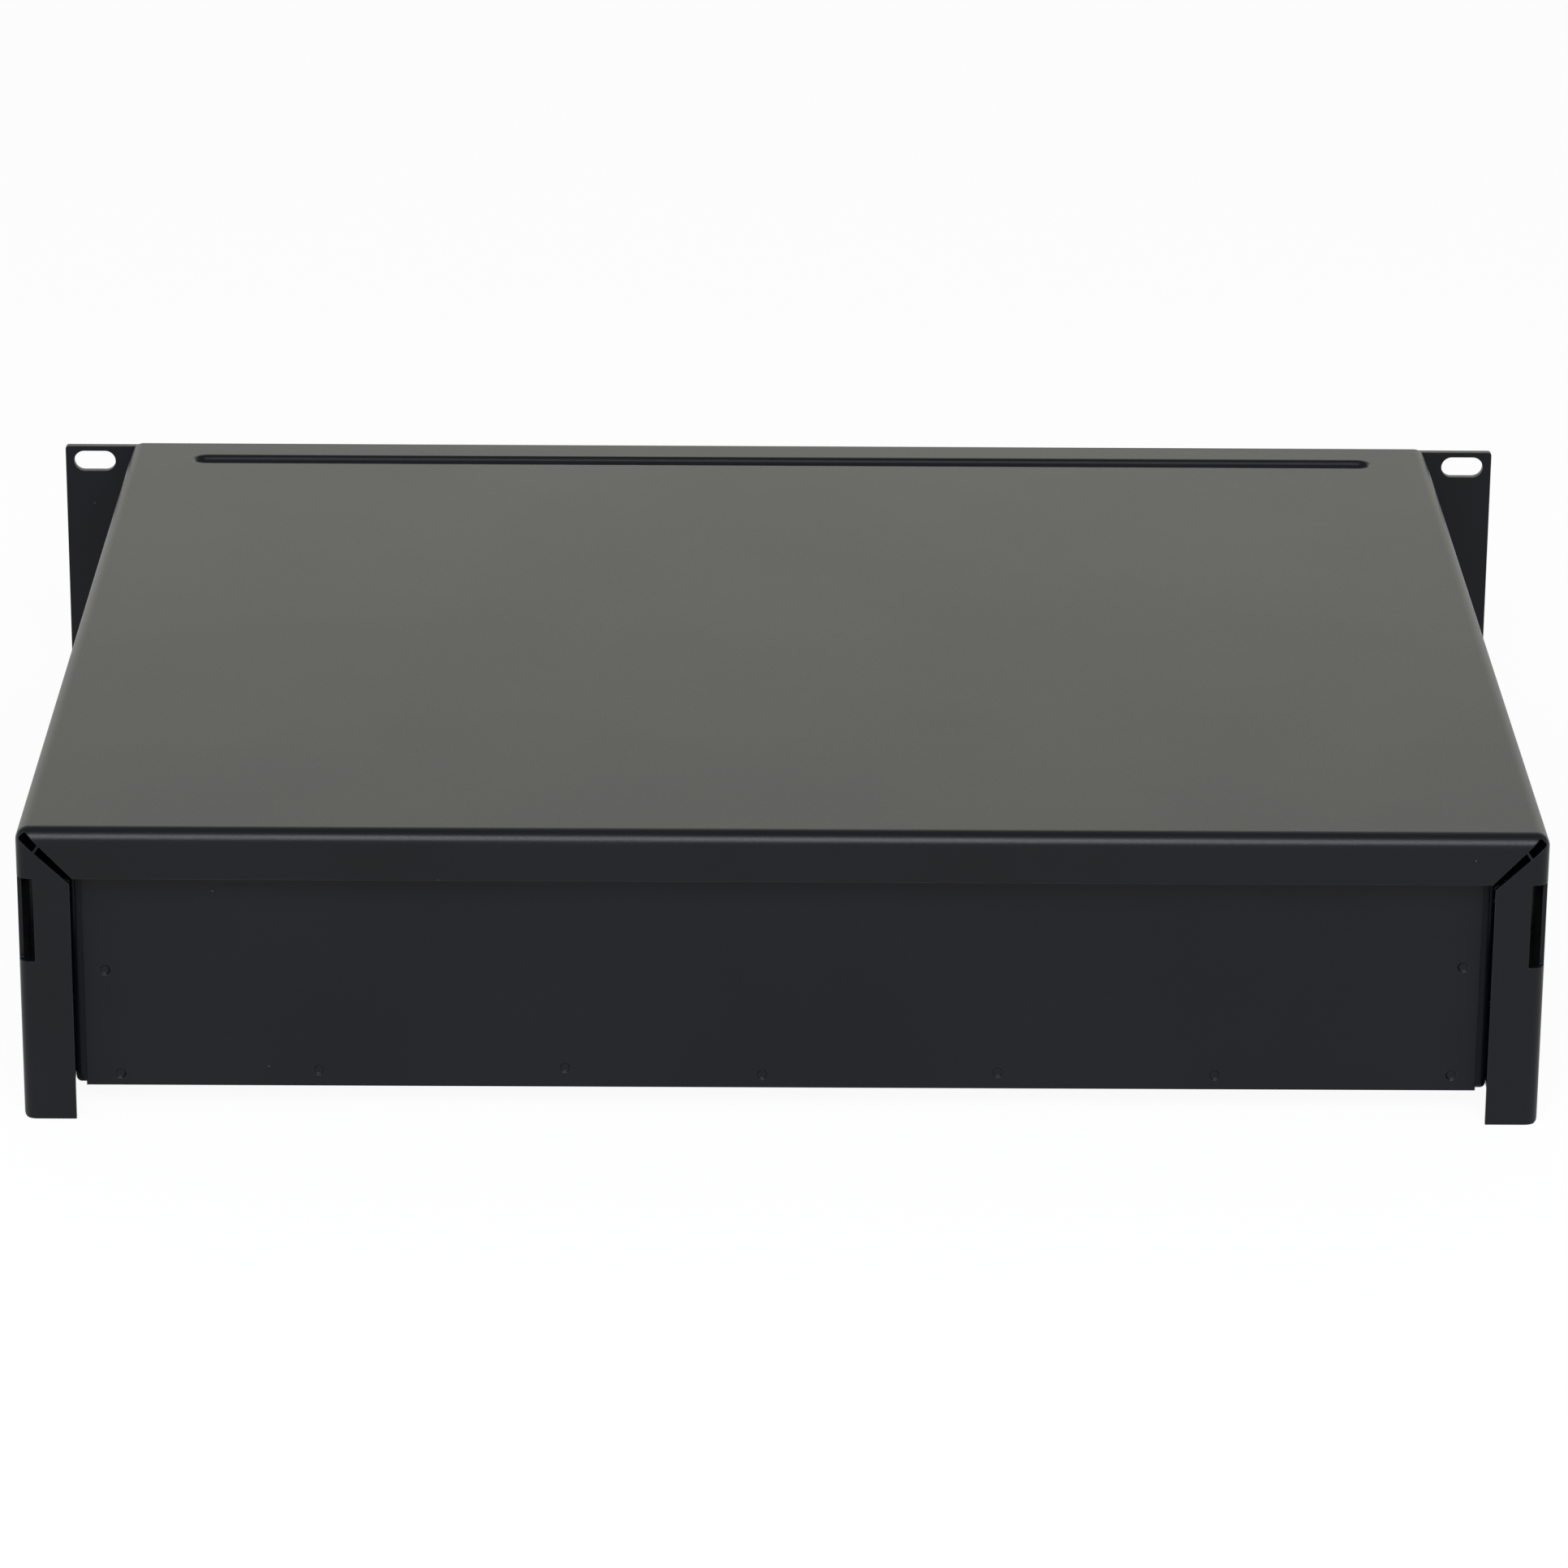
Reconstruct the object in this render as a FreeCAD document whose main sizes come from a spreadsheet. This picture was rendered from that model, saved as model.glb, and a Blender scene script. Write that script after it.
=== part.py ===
"""Sliding rack drawer, two rack units high.

A folded sheet-steel cover with rack ears carries a shallow drawer on a pair of three-member ball
slides. The drawer has a flush front plate with a bow handle and a cam lock.

Frame: +X right seen from the front, +Y to the back, +Z up, millimetres. The origin is the centre
of the rack bolt pattern, on the plane where the ears meet the rack's posts.
"""

import FreeCAD, Part
import math
import os
import re

import Sketcher

SIZES = {
    # How far a cut starts and ends outside the material.
    "cut_margin": 1.0,
    # Folded cover: an upside-down channel with a lip and two flanges turned in at the back.
    "cover_width": 437.6,
    "cover_height": 88.9,
    "cover_depth": 375.6,
    "cover_gauge": 1.2,
    "fold_radius": 4.0,
    "base_flange": 12.0,
    "base_fold": 1.6,
    "base_relief": 1.2,
    "rear_flange": 15.3,
    "rear_lip": 14.85,
    "mitre_outer_gap": 2.9,
    "mitre_inner_gap": 1.7,
    "mitre_tie_place": 6.0,
    "mitre_tie_width": 0.45,
    "mitre_tie_lean": 0.4,
    "mitre_overrun": 1.5,
    "notch_height": 25.5,
    "notch_inset": 4.9,
    "notch_wrap": 4.2,
    # Stiffening bead pressed down into the cover's top.
    "bead_setback": 17.7,
    "bead_width": 8.6,
    "bead_depth": 1.8,
    "bead_slope": 35.0,
    "bead_crest": 1.6,
    "bead_root": 1.4,
    "bead_end_right": 22.6,
    "bead_end_left": 20.6,
    # Rack ears: angle brackets with two tabs riveted inside each side wall.
    "ear_reach": 22.5,
    "ear_edge_gap": 1.15,
    "ear_gauge": 2.5,
    "ear_corner": 1.0,
    "ear_bend": 2.0,
    "slot_inset": 9.8,
    "slot_drop": 5.2,
    "slot_length": 14.0,
    "slot_width": 7.0,
    "tab_reach": 24.0,
    "tab_rail_gap": 3.7,
    "tab_top_gap": 3.0,
    "tab_rivet_front": 7.0,
    "tab_rivet_rear": 18.0,
    # Rivets.
    "rivet_shank": 4.0,
    "rivet_head": 7.0,
    "rivet_head_height": 1.5,
    "rivet_crown": 1.275,
    "rivet_tail": 6.2,
    "rivet_tail_height": 0.6,
    "rivet_clearance": 0.1,
    # Ball slides. Depths are measured from the cover's inner wall towards the drawer.
    "slide_depth": 13.2,
    "rail_height": 45.6,
    "rail_gauge": 1.2,
    "rail_rear_gap": 23.6,
    "rail_setback": 2.0,
    "rail_corner": 1.6,
    "middle_corner": 1.12,
    "drawer_corner": 1.28,
    "ball_size": 3.2,
    "race_gap": 0.15,
    "race_depth": 0.5,
    "outer_race": 6.4,
    "inner_race": 9.5,
    "cabinet_flange": 8.8,
    "middle_web": 3.4,
    "middle_flange": 11.3,
    "middle_setback": 1.0,
    "drawer_flange": 7.2,
    "end_gap": 0.3,
    "bumper_length": 4.0,
    "bumper_depth": 7.5,
    "bumper_peg": 2.8,
    "bumper_peg_length": 1.8,
    "rail_hole_front": 32.0,
    "rail_hole_middle": 160.0,
    "rail_hole_rear_inset": 32.0,
    "drawer_hole_front": 32.0,
    "drawer_hole_middle": 112.0,
    "drawer_hole_rear_inset": 32.0,
    "web_hole": 8.0,
    "web_holes": 3,
    "web_hole_first": 70.0,
    "web_hole_pitch": 100.0,
    # Ball cages.
    "cage_gauge": 0.6,
    "cage_slip": 0.4,
    "cage_reach": 2.6,
    "cage_length": 150.0,
    "cage_start": 100.0,
    "pocket_clearance": 0.15,
    "ball_pitch": 26.0,
    "balls_per_row": 6,
    # Release levers on the drawer rails.
    "lever_pivot": 196.0,
    "lever_arm": 42.0,
    "lever_boss": 9.0,
    "lever_waist": 4.4,
    "lever_pad": 8.0,
    "lever_pad_length": 12.0,
    "lever_pad_corner": 2.8,
    "lever_thickness": 2.6,
    "lever_slip": 0.3,
    "lever_pin": 3.0,
    "lever_pin_head": 5.4,
    "running_clearance": 0.05,
    # Drawer tray and its back.
    "tray_gauge": 1.2,
    "tray_fold": 1.6,
    "tray_floor_gap": 6.95,
    "tray_top_gap": 12.95,
    "tray_flange": 15.0,
    "tray_upstand": 12.0,
    "corner_clip_across": 3.4,
    "corner_clip_up": 4.1,
    "back_gauge": 1.2,
    "back_setback": 9.0,
    "back_side_gap": 3.2,
    "weld_size": 3.2,
    "weld_depth": 0.5,
    "weld_slope": 45.0,
    # Front plate.
    "front_gauge": 2.5,
    "front_gap": 0.3,
    "front_side_gap": 1.0,
    "front_edge_gap": 1.0,
    "front_corner": 1.5,
    "front_edge": 0.4,
    "fixing_inset": 19.4,
    "fixing_inner": 70.0,
    "fixing_drop": 9.5,
    "fixing_rise": 7.5,
    # Pan-head screws.
    "screw_shank": 4.0,
    "screw_head": 7.6,
    "screw_head_height": 2.2,
    "screw_edge": 0.9,
    "screw_point": 0.4,
    "screw_clearance": 0.25,
    "recess_length": 4.2,
    "recess_width": 1.0,
    "recess_depth": 1.2,
    "rail_screw_length": 6.0,
    "fixing_length": 3.4,
    "handle_screw_length": 12.0,
    # Bow handle.
    "pull_span": 110.0,
    "pull_reach": 30.0,
    "pull_bar": 8.0,
    "pull_bend": 11.0,
    "pull_drop": 9.0,
    "pull_tap_depth": 10.0,
    # Cam lock.
    "lock_drop": 28.45,
    "lock_flange": 22.0,
    "lock_flange_height": 2.0,
    "lock_barrel": 18.8,
    "lock_flat": 16.4,
    "lock_rear": 8.0,
    "lock_hole_clearance": 0.15,
    "plug_size": 13.0,
    "plug_cap": 15.0,
    "plug_cap_height": 1.2,
    "plug_recess": 0.3,
    "tang_size": 6.0,
    "keyway_height": 8.0,
    "keyway_width": 1.8,
    "keyway_depth": 5.0,
    "cam_gap": 0.2,
    "cam_gauge": 2.0,
    "cam_width": 14.0,
    "cam_length": 21.0,
    "cam_tip_width": 10.0,
    "cam_tip_corner": 2.0,
    "nut_across_flats": 24.0,
    "nut_height": 3.0,
    "cam_screw_shank": 3.0,
    "cam_screw_head": 7.4,
    "cam_screw_head_height": 1.8,
    "cam_screw_length": 7.0,
    "cam_screw_gap": 1.0,
    # Strike for the cam, under the cover's top.
    "strike_width": 40.0,
    "strike_gauge": 1.2,
    "strike_bend": 1.68,
    "strike_corner": 2.4,
    "strike_drop": 9.3,
    "strike_foot": 6.8,
    "strike_gap": 0.8,
}

# Spot welds along the back's lower edge: across as a share of half its width, and up from the edge in mm.
BOTTOM_WELDS = [
    ("0.9507", "3.6"),
    ("0.6656", "4.9"),
    ("0.3117", "5.9"),
    ("0.0277", "4.0"),
    ("-0.3114", "5.0"),
    ("-0.6239", "4.4"),
    ("-0.9647", "4.7"),
]
# The one spot weld on each side flange, right and left: in from the tray's side, and up from the edge.
SIDE_WELDS = {1: ("9.4", "35.7"), -1: ("8.2", "38.3")}

SIDES = {"left": -1, "right": 1}

PAD_REVERSED = {"XY_Plane": False, "XZ_Plane": True, "YZ_Plane": False}
LEVEL_SIGN = {"XY_Plane": "", "XZ_Plane": "-", "YZ_Plane": ""}

document = FreeCAD.newDocument("sliding_rack_drawer")
sheet = document.addObject("Spreadsheet::Sheet", "dims")
for row, (alias, value) in enumerate(SIZES.items(), start=1):
    sheet.set(f"A{row}", alias)
    sheet.set(f"B{row}", str(value))
    sheet.setAlias(f"B{row}", alias)
document.recompute()

subparts = []

# Formulas shared by several pieces, in the sheet's names.
HALF_WIDTH = "(cover_width / 2)"
INNER_WALL = "(cover_width / 2 - cover_gauge)"
TOP = "(cover_height / 2)"
INNER_TOP = "(cover_height / 2 - cover_gauge)"
INNER_FOLD = "(fold_radius - cover_gauge)"
EAR_OUTER = f"({HALF_WIDTH} + ear_reach)"
EAR_TOP = f"({TOP} - ear_edge_gap)"
TAB_LOW = "(rail_height / 2 + tab_rail_gap)"
TAB_HIGH = f"({INNER_TOP} - tab_top_gap)"
RAIL_LENGTH = "(cover_depth - rail_setback - rail_rear_gap)"
TRAY_HALF = f"({INNER_WALL} - slide_depth)"
TRAY_BOTTOM = f"(tray_floor_gap - {TOP})"
TRAY_TOP = f"({TOP} - tray_top_gap)"
TRAY_REAR = "(cover_depth - back_setback - back_gauge)"
BACK_HALF = f"({TRAY_HALF} - back_side_gap)"
FRONT_TOP = f"({TOP} - front_edge_gap)"
FRONT_BACK = "(-front_gap)"
FRONT_FACE = "(-front_gap - front_gauge)"
TRAY_FRONT_INSIDE = "(tray_gauge - front_gap)"
RACE_RADIUS = "(ball_size / 2 + race_gap)"
RACE_BACK = f"({RACE_RADIUS} + rail_gauge)"
RACE_CHORD = f"sqrt({RACE_RADIUS}^2 - ({RACE_RADIUS} - race_depth)^2)"
BACK_CHORD = f"sqrt({RACE_BACK}^2 - ({RACE_BACK} - race_depth)^2)"
CABINET_OUTSIDE = "(rail_height / 2 - race_depth)"
CABINET_INSIDE = f"({CABINET_OUTSIDE} - rail_gauge)"
OUTER_BALLS = f"({CABINET_INSIDE} + race_depth - {RACE_RADIUS})"
MIDDLE_OUTSIDE = f"({OUTER_BALLS} - {RACE_RADIUS} + race_depth)"
MIDDLE_INSIDE = f"({MIDDLE_OUTSIDE} - rail_gauge)"
INNER_BALLS = f"({MIDDLE_INSIDE} + race_depth - {RACE_RADIUS})"
DRAWER_OUTSIDE = f"({INNER_BALLS} - {RACE_RADIUS} + race_depth)"
DRAWER_INSIDE = f"({DRAWER_OUTSIDE} - rail_gauge)"
MIDDLE_LENGTH = f"({RAIL_LENGTH} - middle_setback - bumper_length - end_gap)"
MIDDLE_FRONT = "(rail_setback + middle_setback)"
OUTER_CAGE_WEB = "(middle_web - cage_slip - cage_gauge)"
INNER_CAGE_WEB = "(middle_web + rail_gauge + cage_slip)"
FIRST_BALL = "(cage_start + (cage_length - (balls_per_row - 1) * ball_pitch) / 2)"
CAM_FRONT = "(lock_rear + cam_gap)"
LOCK_HEIGHT = f"({TOP} - lock_drop)"


def bound(text):
    """The text as an expression on the sheet's cells."""
    return re.sub(r"[a-z_]+", lambda m: "dims." + m.group() if m.group() in SIZES else m.group(), text)


def number(text):
    """The value of an expression on the sheet's cells."""
    return float(sheet.evalExpression(bound(text).replace("dims.", "")))


def bind(item, prop, text):
    item.setExpression(prop, bound(text))


def new_body(label):
    body = document.addObject("PartDesign::Body", label)
    body.Label = label
    return body


def keep(item):
    """Marks an object as a sub-part to be written."""
    subparts.append(item)
    return item


def sketch(body, plane, level="0"):
    """A sketch parallel to one of the body's origin planes, at a level along the plane's axis."""
    drawing = body.newObject("Sketcher::SketchObject", "Sketch")
    support = [item for item in body.Origin.OriginFeatures if item.Role == plane][0]
    drawing.AttachmentSupport = [(support, "")]
    drawing.MapMode = "FlatFace"
    bind(drawing, "AttachmentOffset.Base.z", f"{LEVEL_SIGN[plane]}({level})")
    return drawing


def fix(drawing, curve, end, x, y):
    """Ties one end of a curve to its place."""
    for kind, text in (("DistanceX", x), ("DistanceY", y)):
        constraint = Sketcher.Constraint(kind, -1, 1, curve, end, number(text))
        index = drawing.addConstraint(constraint)
        bind(drawing, f"Constraints[{index}]", text)


def fix_radius(drawing, curve, radius):
    index = drawing.addConstraint(Sketcher.Constraint("Radius", curve, number(radius)))
    bind(drawing, f"Constraints[{index}]", radius)


def outline(drawing, corners, closed=True):
    """Straight runs and arcs through the corners.

    A corner is (x, y), or (x, y, centre x, centre y, radius) where an arc of less than half a turn
    leads to the next corner.
    """
    points = [FreeCAD.Vector(number(c[0]), number(c[1]), 0) for c in corners]
    runs = len(corners) if closed else len(corners) - 1
    ends = []
    for index in range(runs):
        corner = corners[index]
        start = points[index]
        stop = points[(index + 1) % len(points)]
        if len(corner) == 2:
            curve = drawing.addGeometry(Part.LineSegment(start, stop), False)
            ends.append((curve, 1, 2))
            continue
        centre = FreeCAD.Vector(number(corner[2]), number(corner[3]), 0)
        forward = (start - centre).cross(stop - centre).z > 0
        first, last = (start, stop) if forward else (stop, start)
        circle = Part.Circle(centre, FreeCAD.Vector(0, 0, 1), number(corner[4]))
        first_angle = math.atan2(first.y - centre.y, first.x - centre.x)
        last_angle = math.atan2(last.y - centre.y, last.x - centre.x)
        curve = drawing.addGeometry(Part.ArcOfCircle(circle, first_angle, last_angle), False)
        ends.append((curve, 1, 2) if forward else (curve, 2, 1))
    joins = runs if closed else runs - 1
    for index in range(joins):
        here = ends[index]
        after = ends[(index + 1) % runs]
        drawing.addConstraint(Sketcher.Constraint("Coincident", here[0], here[2], after[0], after[1]))
    for index in range(runs):
        fix(drawing, ends[index][0], ends[index][1], corners[index][0], corners[index][1])
        if len(corners[index]) > 2:
            fix_radius(drawing, ends[index][0], corners[index][4])
    if not closed:
        fix(drawing, ends[-1][0], ends[-1][2], corners[-1][0], corners[-1][1])


def rectangle(drawing, left, right, low, high):
    outline(drawing, [(left, low), (right, low), (right, high), (left, high)])


def circle(drawing, x, y, radius):
    shape = Part.Circle(FreeCAD.Vector(number(x), number(y), 0), FreeCAD.Vector(0, 0, 1), number(radius))
    curve = drawing.addGeometry(shape, False)
    fix(drawing, curve, 3, x, y)
    fix_radius(drawing, curve, radius)


def slot(drawing, x, y, length, width):
    """An obround hole, long along the sketch's X."""
    reach = f"(({length}) - ({width})) / 2"
    half = f"({width}) / 2"
    outline(
        drawing,
        [
            (f"({x}) - {reach}", f"({y}) - {half}"),
            (f"({x}) + {reach}", f"({y}) - {half}", f"({x}) + {reach}", y, half),
            (f"({x}) + ({width}) / 2 + {reach}", y, f"({x}) + {reach}", y, half),
            (f"({x}) + {reach}", f"({y}) + {half}"),
            (f"({x}) - {reach}", f"({y}) + {half}", f"({x}) - {reach}", y, half),
            (f"({x}) - ({width}) / 2 - {reach}", y, f"({x}) - {reach}", y, half),
        ],
    )


def plane_of(drawing):
    return drawing.AttachmentSupport[0][0].Role


def add(body, drawing, length, taper="0"):
    """Pads the sketch towards the positive side of its plane."""
    pad = body.newObject("PartDesign::Pad", "Pad")
    pad.Profile = drawing
    pad.Reversed = PAD_REVERSED[plane_of(drawing)]
    bind(pad, "Length", length)
    if taper != "0":
        bind(pad, "TaperAngle", taper)
    document.recompute()
    return pad


def cut(body, drawing, length, taper="0"):
    """Pockets the sketch towards the positive side of its plane, and checks that it took material."""
    before = body.Tip.Shape.Volume
    pocket = body.newObject("PartDesign::Pocket", "Pocket")
    pocket.Profile = drawing
    pocket.Reversed = not PAD_REVERSED[plane_of(drawing)]
    bind(pocket, "Length", length)
    if taper != "0":
        bind(pocket, "TaperAngle", taper)
    document.recompute()
    if not pocket.Shape.Volume < before:
        raise RuntimeError(f"{body.Label}: a pocket removed nothing")
    return pocket


def hollow(body, tool):
    """Takes another body's shape out of this one."""
    before = body.Tip.Shape.Volume
    boolean = body.newObject("PartDesign::Boolean", "Boolean")
    boolean.Type = "Cut"
    boolean.setObjects([tool])
    document.recompute()
    if not boolean.Shape.Volume < before:
        raise RuntimeError(f"{body.Label}: a hollow removed nothing")
    return boolean


def edges(shape, axis, places):
    """Names of the straight edges along an axis that lie at one of the places.

    A place gives the two coordinates across the axis, in X, Y, Z order, as expressions; None
    matches any.
    """
    across = [i for i in range(3) if i != "xyz".index(axis)]
    wanted = [[None if text is None else number(text) for text in place] for place in places]
    names = []
    for index, edge in enumerate(shape.Edges, start=1):
        if edge.Degenerated or edge.Curve.TypeId != "Part::GeomLine":
            continue
        first = edge.Vertexes[0].Point
        last = edge.Vertexes[-1].Point
        if any(abs(first[i] - last[i]) > 1e-4 for i in across):
            continue
        for place in wanted:
            if all(want is None or abs(first[i] - want) < 1e-4 for i, want in zip(across, place)):
                names.append(f"Edge{index}")
                break
    return names


def rims(shape, centre, radius):
    """Names of the circular edges of a radius around a centre point."""
    point = FreeCAD.Vector(*[number(text) for text in centre])
    names = []
    for index, edge in enumerate(shape.Edges, start=1):
        if edge.Degenerated or edge.Curve.TypeId != "Part::GeomCircle":
            continue
        curve = edge.Curve
        if abs(curve.Radius - number(radius)) < 1e-4 and curve.Center.distanceToPoint(point) < 1e-4:
            names.append(f"Edge{index}")
    return names


def dress(body, kind, names, size):
    """Rounds or bevels the named edges of the body's last feature."""
    if not names:
        raise RuntimeError(f"{body.Label}: no edge found to dress")
    base = body.Tip
    feature = body.newObject(f"PartDesign::{kind}", kind)
    feature.Base = (base, names)
    bind(feature, "Radius" if kind == "Fillet" else "Size", size)
    document.recompute()
    if "Invalid" in feature.State:
        raise RuntimeError(f"{body.Label}: a {kind} failed")
    return feature


def revolve(body, drawing, axis):
    feature = body.newObject("PartDesign::Revolution", "Revolution")
    feature.Profile = drawing
    feature.ReferenceAxis = (drawing, [axis])
    feature.Angle = 360
    document.recompute()
    return feature


def group(label, source, places, turn=None):
    """Separate copies of one solid, as one sub-part. A place is three expressions."""
    links = []
    for place in places:
        link = document.addObject("App::Link", f"{label}_copy")
        link.setLink(source)
        if turn is not None:
            link.Placement.Rotation = FreeCAD.Rotation(FreeCAD.Vector(*turn[0]), turn[1])
        for name, text in zip("xyz", place):
            bind(link, f"Placement.Base.{name}", text)
        links.append(link)
    compound = document.addObject("Part::Compound", label)
    compound.Label = label
    compound.Links = links
    document.recompute()
    return keep(compound)


def from_wall(side, depth):
    """X of a depth measured from the cover's inner wall towards the drawer."""
    return f"{side} * ({INNER_WALL} - ({depth}))"


def both_ways(points):
    """An outline through the points above the middle, then their mirror images below it."""
    below = []
    for index in range(len(points) - 1, -1, -1):
        x, z = points[index][0], points[index][1]
        arc = points[index - 1][2:] if index > 0 else ()
        if arc:
            arc = (arc[0], f"-({arc[1]})", arc[2])
        below.append((x, f"-({z})") + tuple(arc))
    return points + below


def make_cover():
    body = new_body("outer_cover")
    drawing = sketch(body, "XY_Plane", f"-{TOP}")
    rectangle(drawing, f"-{HALF_WIDTH}", HALF_WIDTH, "0", "cover_depth")
    add(body, drawing, "cover_height")
    sides = [f"-{HALF_WIDTH}", HALF_WIDTH]
    shape = body.Tip.Shape
    folds = edges(shape, "y", [(x, TOP) for x in sides])
    folds += edges(shape, "z", [(x, "cover_depth") for x in sides])
    folds += edges(shape, "x", [("cover_depth", TOP)])
    dress(body, "Fillet", folds, "fold_radius")

    # The hollow, open at the front.
    tool = new_body("cover_hollow")
    drawing = sketch(tool, "XZ_Plane", "-cut_margin")
    rectangle(drawing, f"-{INNER_WALL}", INNER_WALL, f"-{INNER_TOP}", INNER_TOP)
    add(tool, drawing, "cover_depth - cover_gauge + cut_margin")
    shape = tool.Tip.Shape
    walls = [f"-{INNER_WALL}", INNER_WALL]
    rear = "(cover_depth - cover_gauge)"
    folds = edges(shape, "y", [(x, INNER_TOP) for x in walls])
    folds += edges(shape, "z", [(x, rear) for x in walls])
    folds += edges(shape, "x", [(rear, INNER_TOP)])
    dress(tool, "Fillet", folds, INNER_FOLD)
    hollow(body, tool)

    # The fold from each side wall to its base flange.
    drawing = sketch(body, "XZ_Plane", "-cut_margin")
    for side in SIDES.values():
        centre = (f"{side} * ({HALF_WIDTH} - base_fold)", f"base_fold - {TOP}")
        wall = f"{side} * {HALF_WIDTH}"
        outside = f"{side} * ({HALF_WIDTH} + cut_margin)"
        outline(
            drawing,
            [
                (centre[0], f"-{TOP}", *centre, "base_fold"),
                (wall, centre[1]),
                (outside, centre[1]),
                (outside, f"-{TOP} - cut_margin"),
                (centre[0], f"-{TOP} - cut_margin"),
            ],
        )
    cut(body, drawing, "cover_depth + 2 * cut_margin")

    # The back is open between the flanges and below the lip, and the base between its flanges.
    drawing = sketch(body, "XZ_Plane", "cover_depth - fold_radius - cut_margin")
    opening = f"({HALF_WIDTH} - rear_flange)"
    rectangle(drawing, f"-{opening}", opening, f"-{TOP} - cut_margin", f"{TOP} - rear_lip")
    cut(body, drawing, "fold_radius + 2 * cut_margin")
    drawing = sketch(body, "XY_Plane", f"-{TOP} - cut_margin")
    opening = f"({HALF_WIDTH} - base_flange)"
    relief = f"({rear} - base_relief)"
    fold = f"({INNER_WALL} - {INNER_FOLD})"
    outline(
        drawing,
        [
            (f"-{opening}", "-cut_margin"),
            (opening, "-cut_margin"),
            (opening, relief),
            (fold, relief),
            (fold, rear),
            (f"-{fold}", rear),
            (f"-{fold}", relief),
            (f"-{opening}", relief),
        ],
    )
    cut(body, drawing, "cover_gauge + 2 * cut_margin")

    # Open mitres where the lip meets the flanges, and the slots below them.
    for side in SIDES.values():
        for opening in mitre_openings():
            drawing = sketch(body, "XZ_Plane", "cover_depth - fold_radius")
            outline(
                drawing,
                [(f"{side} * ({HALF_WIDTH} - ({x}))", f"{TOP} - ({z})") for x, z in opening],
            )
            cut(body, drawing, "fold_radius + cut_margin")
        drawing = sketch(body, "XZ_Plane", "cover_depth - notch_wrap")
        rectangle(
            drawing,
            f"{side} * ({HALF_WIDTH} - notch_inset)",
            f"{side} * ({HALF_WIDTH} + cut_margin)",
            f"{TOP} - rear_lip - notch_height",
            f"{TOP} - rear_lip",
        )
        cut(body, drawing, "notch_wrap + cut_margin")

    # The pressed bead: its underside is padded below the top sheet, then its channel is cut.
    centre = ("(bead_end_left - bead_end_right) / 2", "bead_setback")
    length = "(cover_width - bead_end_left - bead_end_right)"
    sink = "(bead_depth * tan(bead_slope * 1 deg))"
    drawing = sketch(body, "XY_Plane", f"{TOP} - cover_gauge - bead_depth")
    slot(drawing, *centre, f"{length} - 2 * {sink} + cover_gauge", f"bead_width - 2 * {sink} + cover_gauge")
    add(body, drawing, "bead_depth + cover_gauge / 2", "bead_slope")
    drawing = sketch(body, "XY_Plane", f"{TOP} - bead_depth")
    slot(drawing, *centre, f"{length} - 2 * {sink}", f"bead_width - 2 * {sink}")
    cut(body, drawing, "bead_depth", "bead_slope")
    crest = edges(body.Tip.Shape, "x", [("bead_setback + bead_width / 2", TOP)])
    dress(body, "Fillet", crest, "bead_crest")
    root = [(f"bead_setback + bead_width / 2 - {sink}", f"{TOP} - bead_depth")]
    dress(body, "Fillet", edges(body.Tip.Shape, "x", root), "bead_root")

    # Rivet holes for the ears and the cabinet rails.
    for side in SIDES.values():
        drawing = sketch(body, "YZ_Plane", f"{side} * {HALF_WIDTH} - 2 * cut_margin")
        for y, z in ear_rivet_places():
            circle(drawing, y, z, "(rivet_shank + rivet_clearance) / 2")
        for y in rail_rivet_places():
            circle(drawing, y, "0", "(rivet_shank + rivet_clearance) / 2")
        cut(body, drawing, "4 * cut_margin")
    return keep(body)


def mitre_openings():
    """The open mitre at a rear corner, as two outlines with a thin tie left between them.

    Points are measured in from the side and down from the top. The gap lies about the diagonal
    and narrows from the corner inwards.
    """
    outer = "(mitre_outer_gap / sqrt(2))"
    inner = "(mitre_inner_gap / sqrt(2))"
    start = "cover_gauge"
    finish = "(rear_flange + mitre_overrun)"
    share = f"((mitre_tie_place - cover_gauge) / ({finish} - cover_gauge))"
    middle = f"({outer} + ({inner} - {outer}) * {share})"

    def tie_edge(shift):
        """Where the tie's edge meets the lip's line and the flange's line."""
        at = f"(mitre_tie_place + ({shift}))"
        lean = "mitre_tie_lean"
        lip = (f"{at} + {middle} * {lean}", f"{at} + {middle} * {lean} - {middle}")
        flange = (f"{at} - {middle} * {lean}", f"{at} - {middle} * {lean} + {middle}")
        return lip, flange

    lip, flange = tie_edge("-mitre_tie_width / 2")
    near_corner = [
        (f"{start} + {outer}", start),
        (f"{start} + {INNER_FOLD} / 2", start),
        (start, f"{start} + {INNER_FOLD} / 2"),
        (start, f"{start} + {outer}"),
        flange,
        lip,
    ]
    lip, flange = tie_edge("mitre_tie_width / 2")
    beyond = [
        lip,
        flange,
        (finish, f"{finish} + {inner}"),
        (f"{finish} + {inner}", finish),
    ]
    return near_corner, beyond


def ear_rivet_places():
    middle = f"({TAB_LOW} + {TAB_HIGH}) / 2"
    return [(y, z) for y in ("tab_rivet_front", "tab_rivet_rear") for z in (middle, f"-{middle}")]


def rail_rivet_places():
    places = ("rail_hole_front", "rail_hole_middle", f"{RAIL_LENGTH} - rail_hole_rear_inset")
    return [f"rail_setback + {place}" for place in places]


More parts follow.
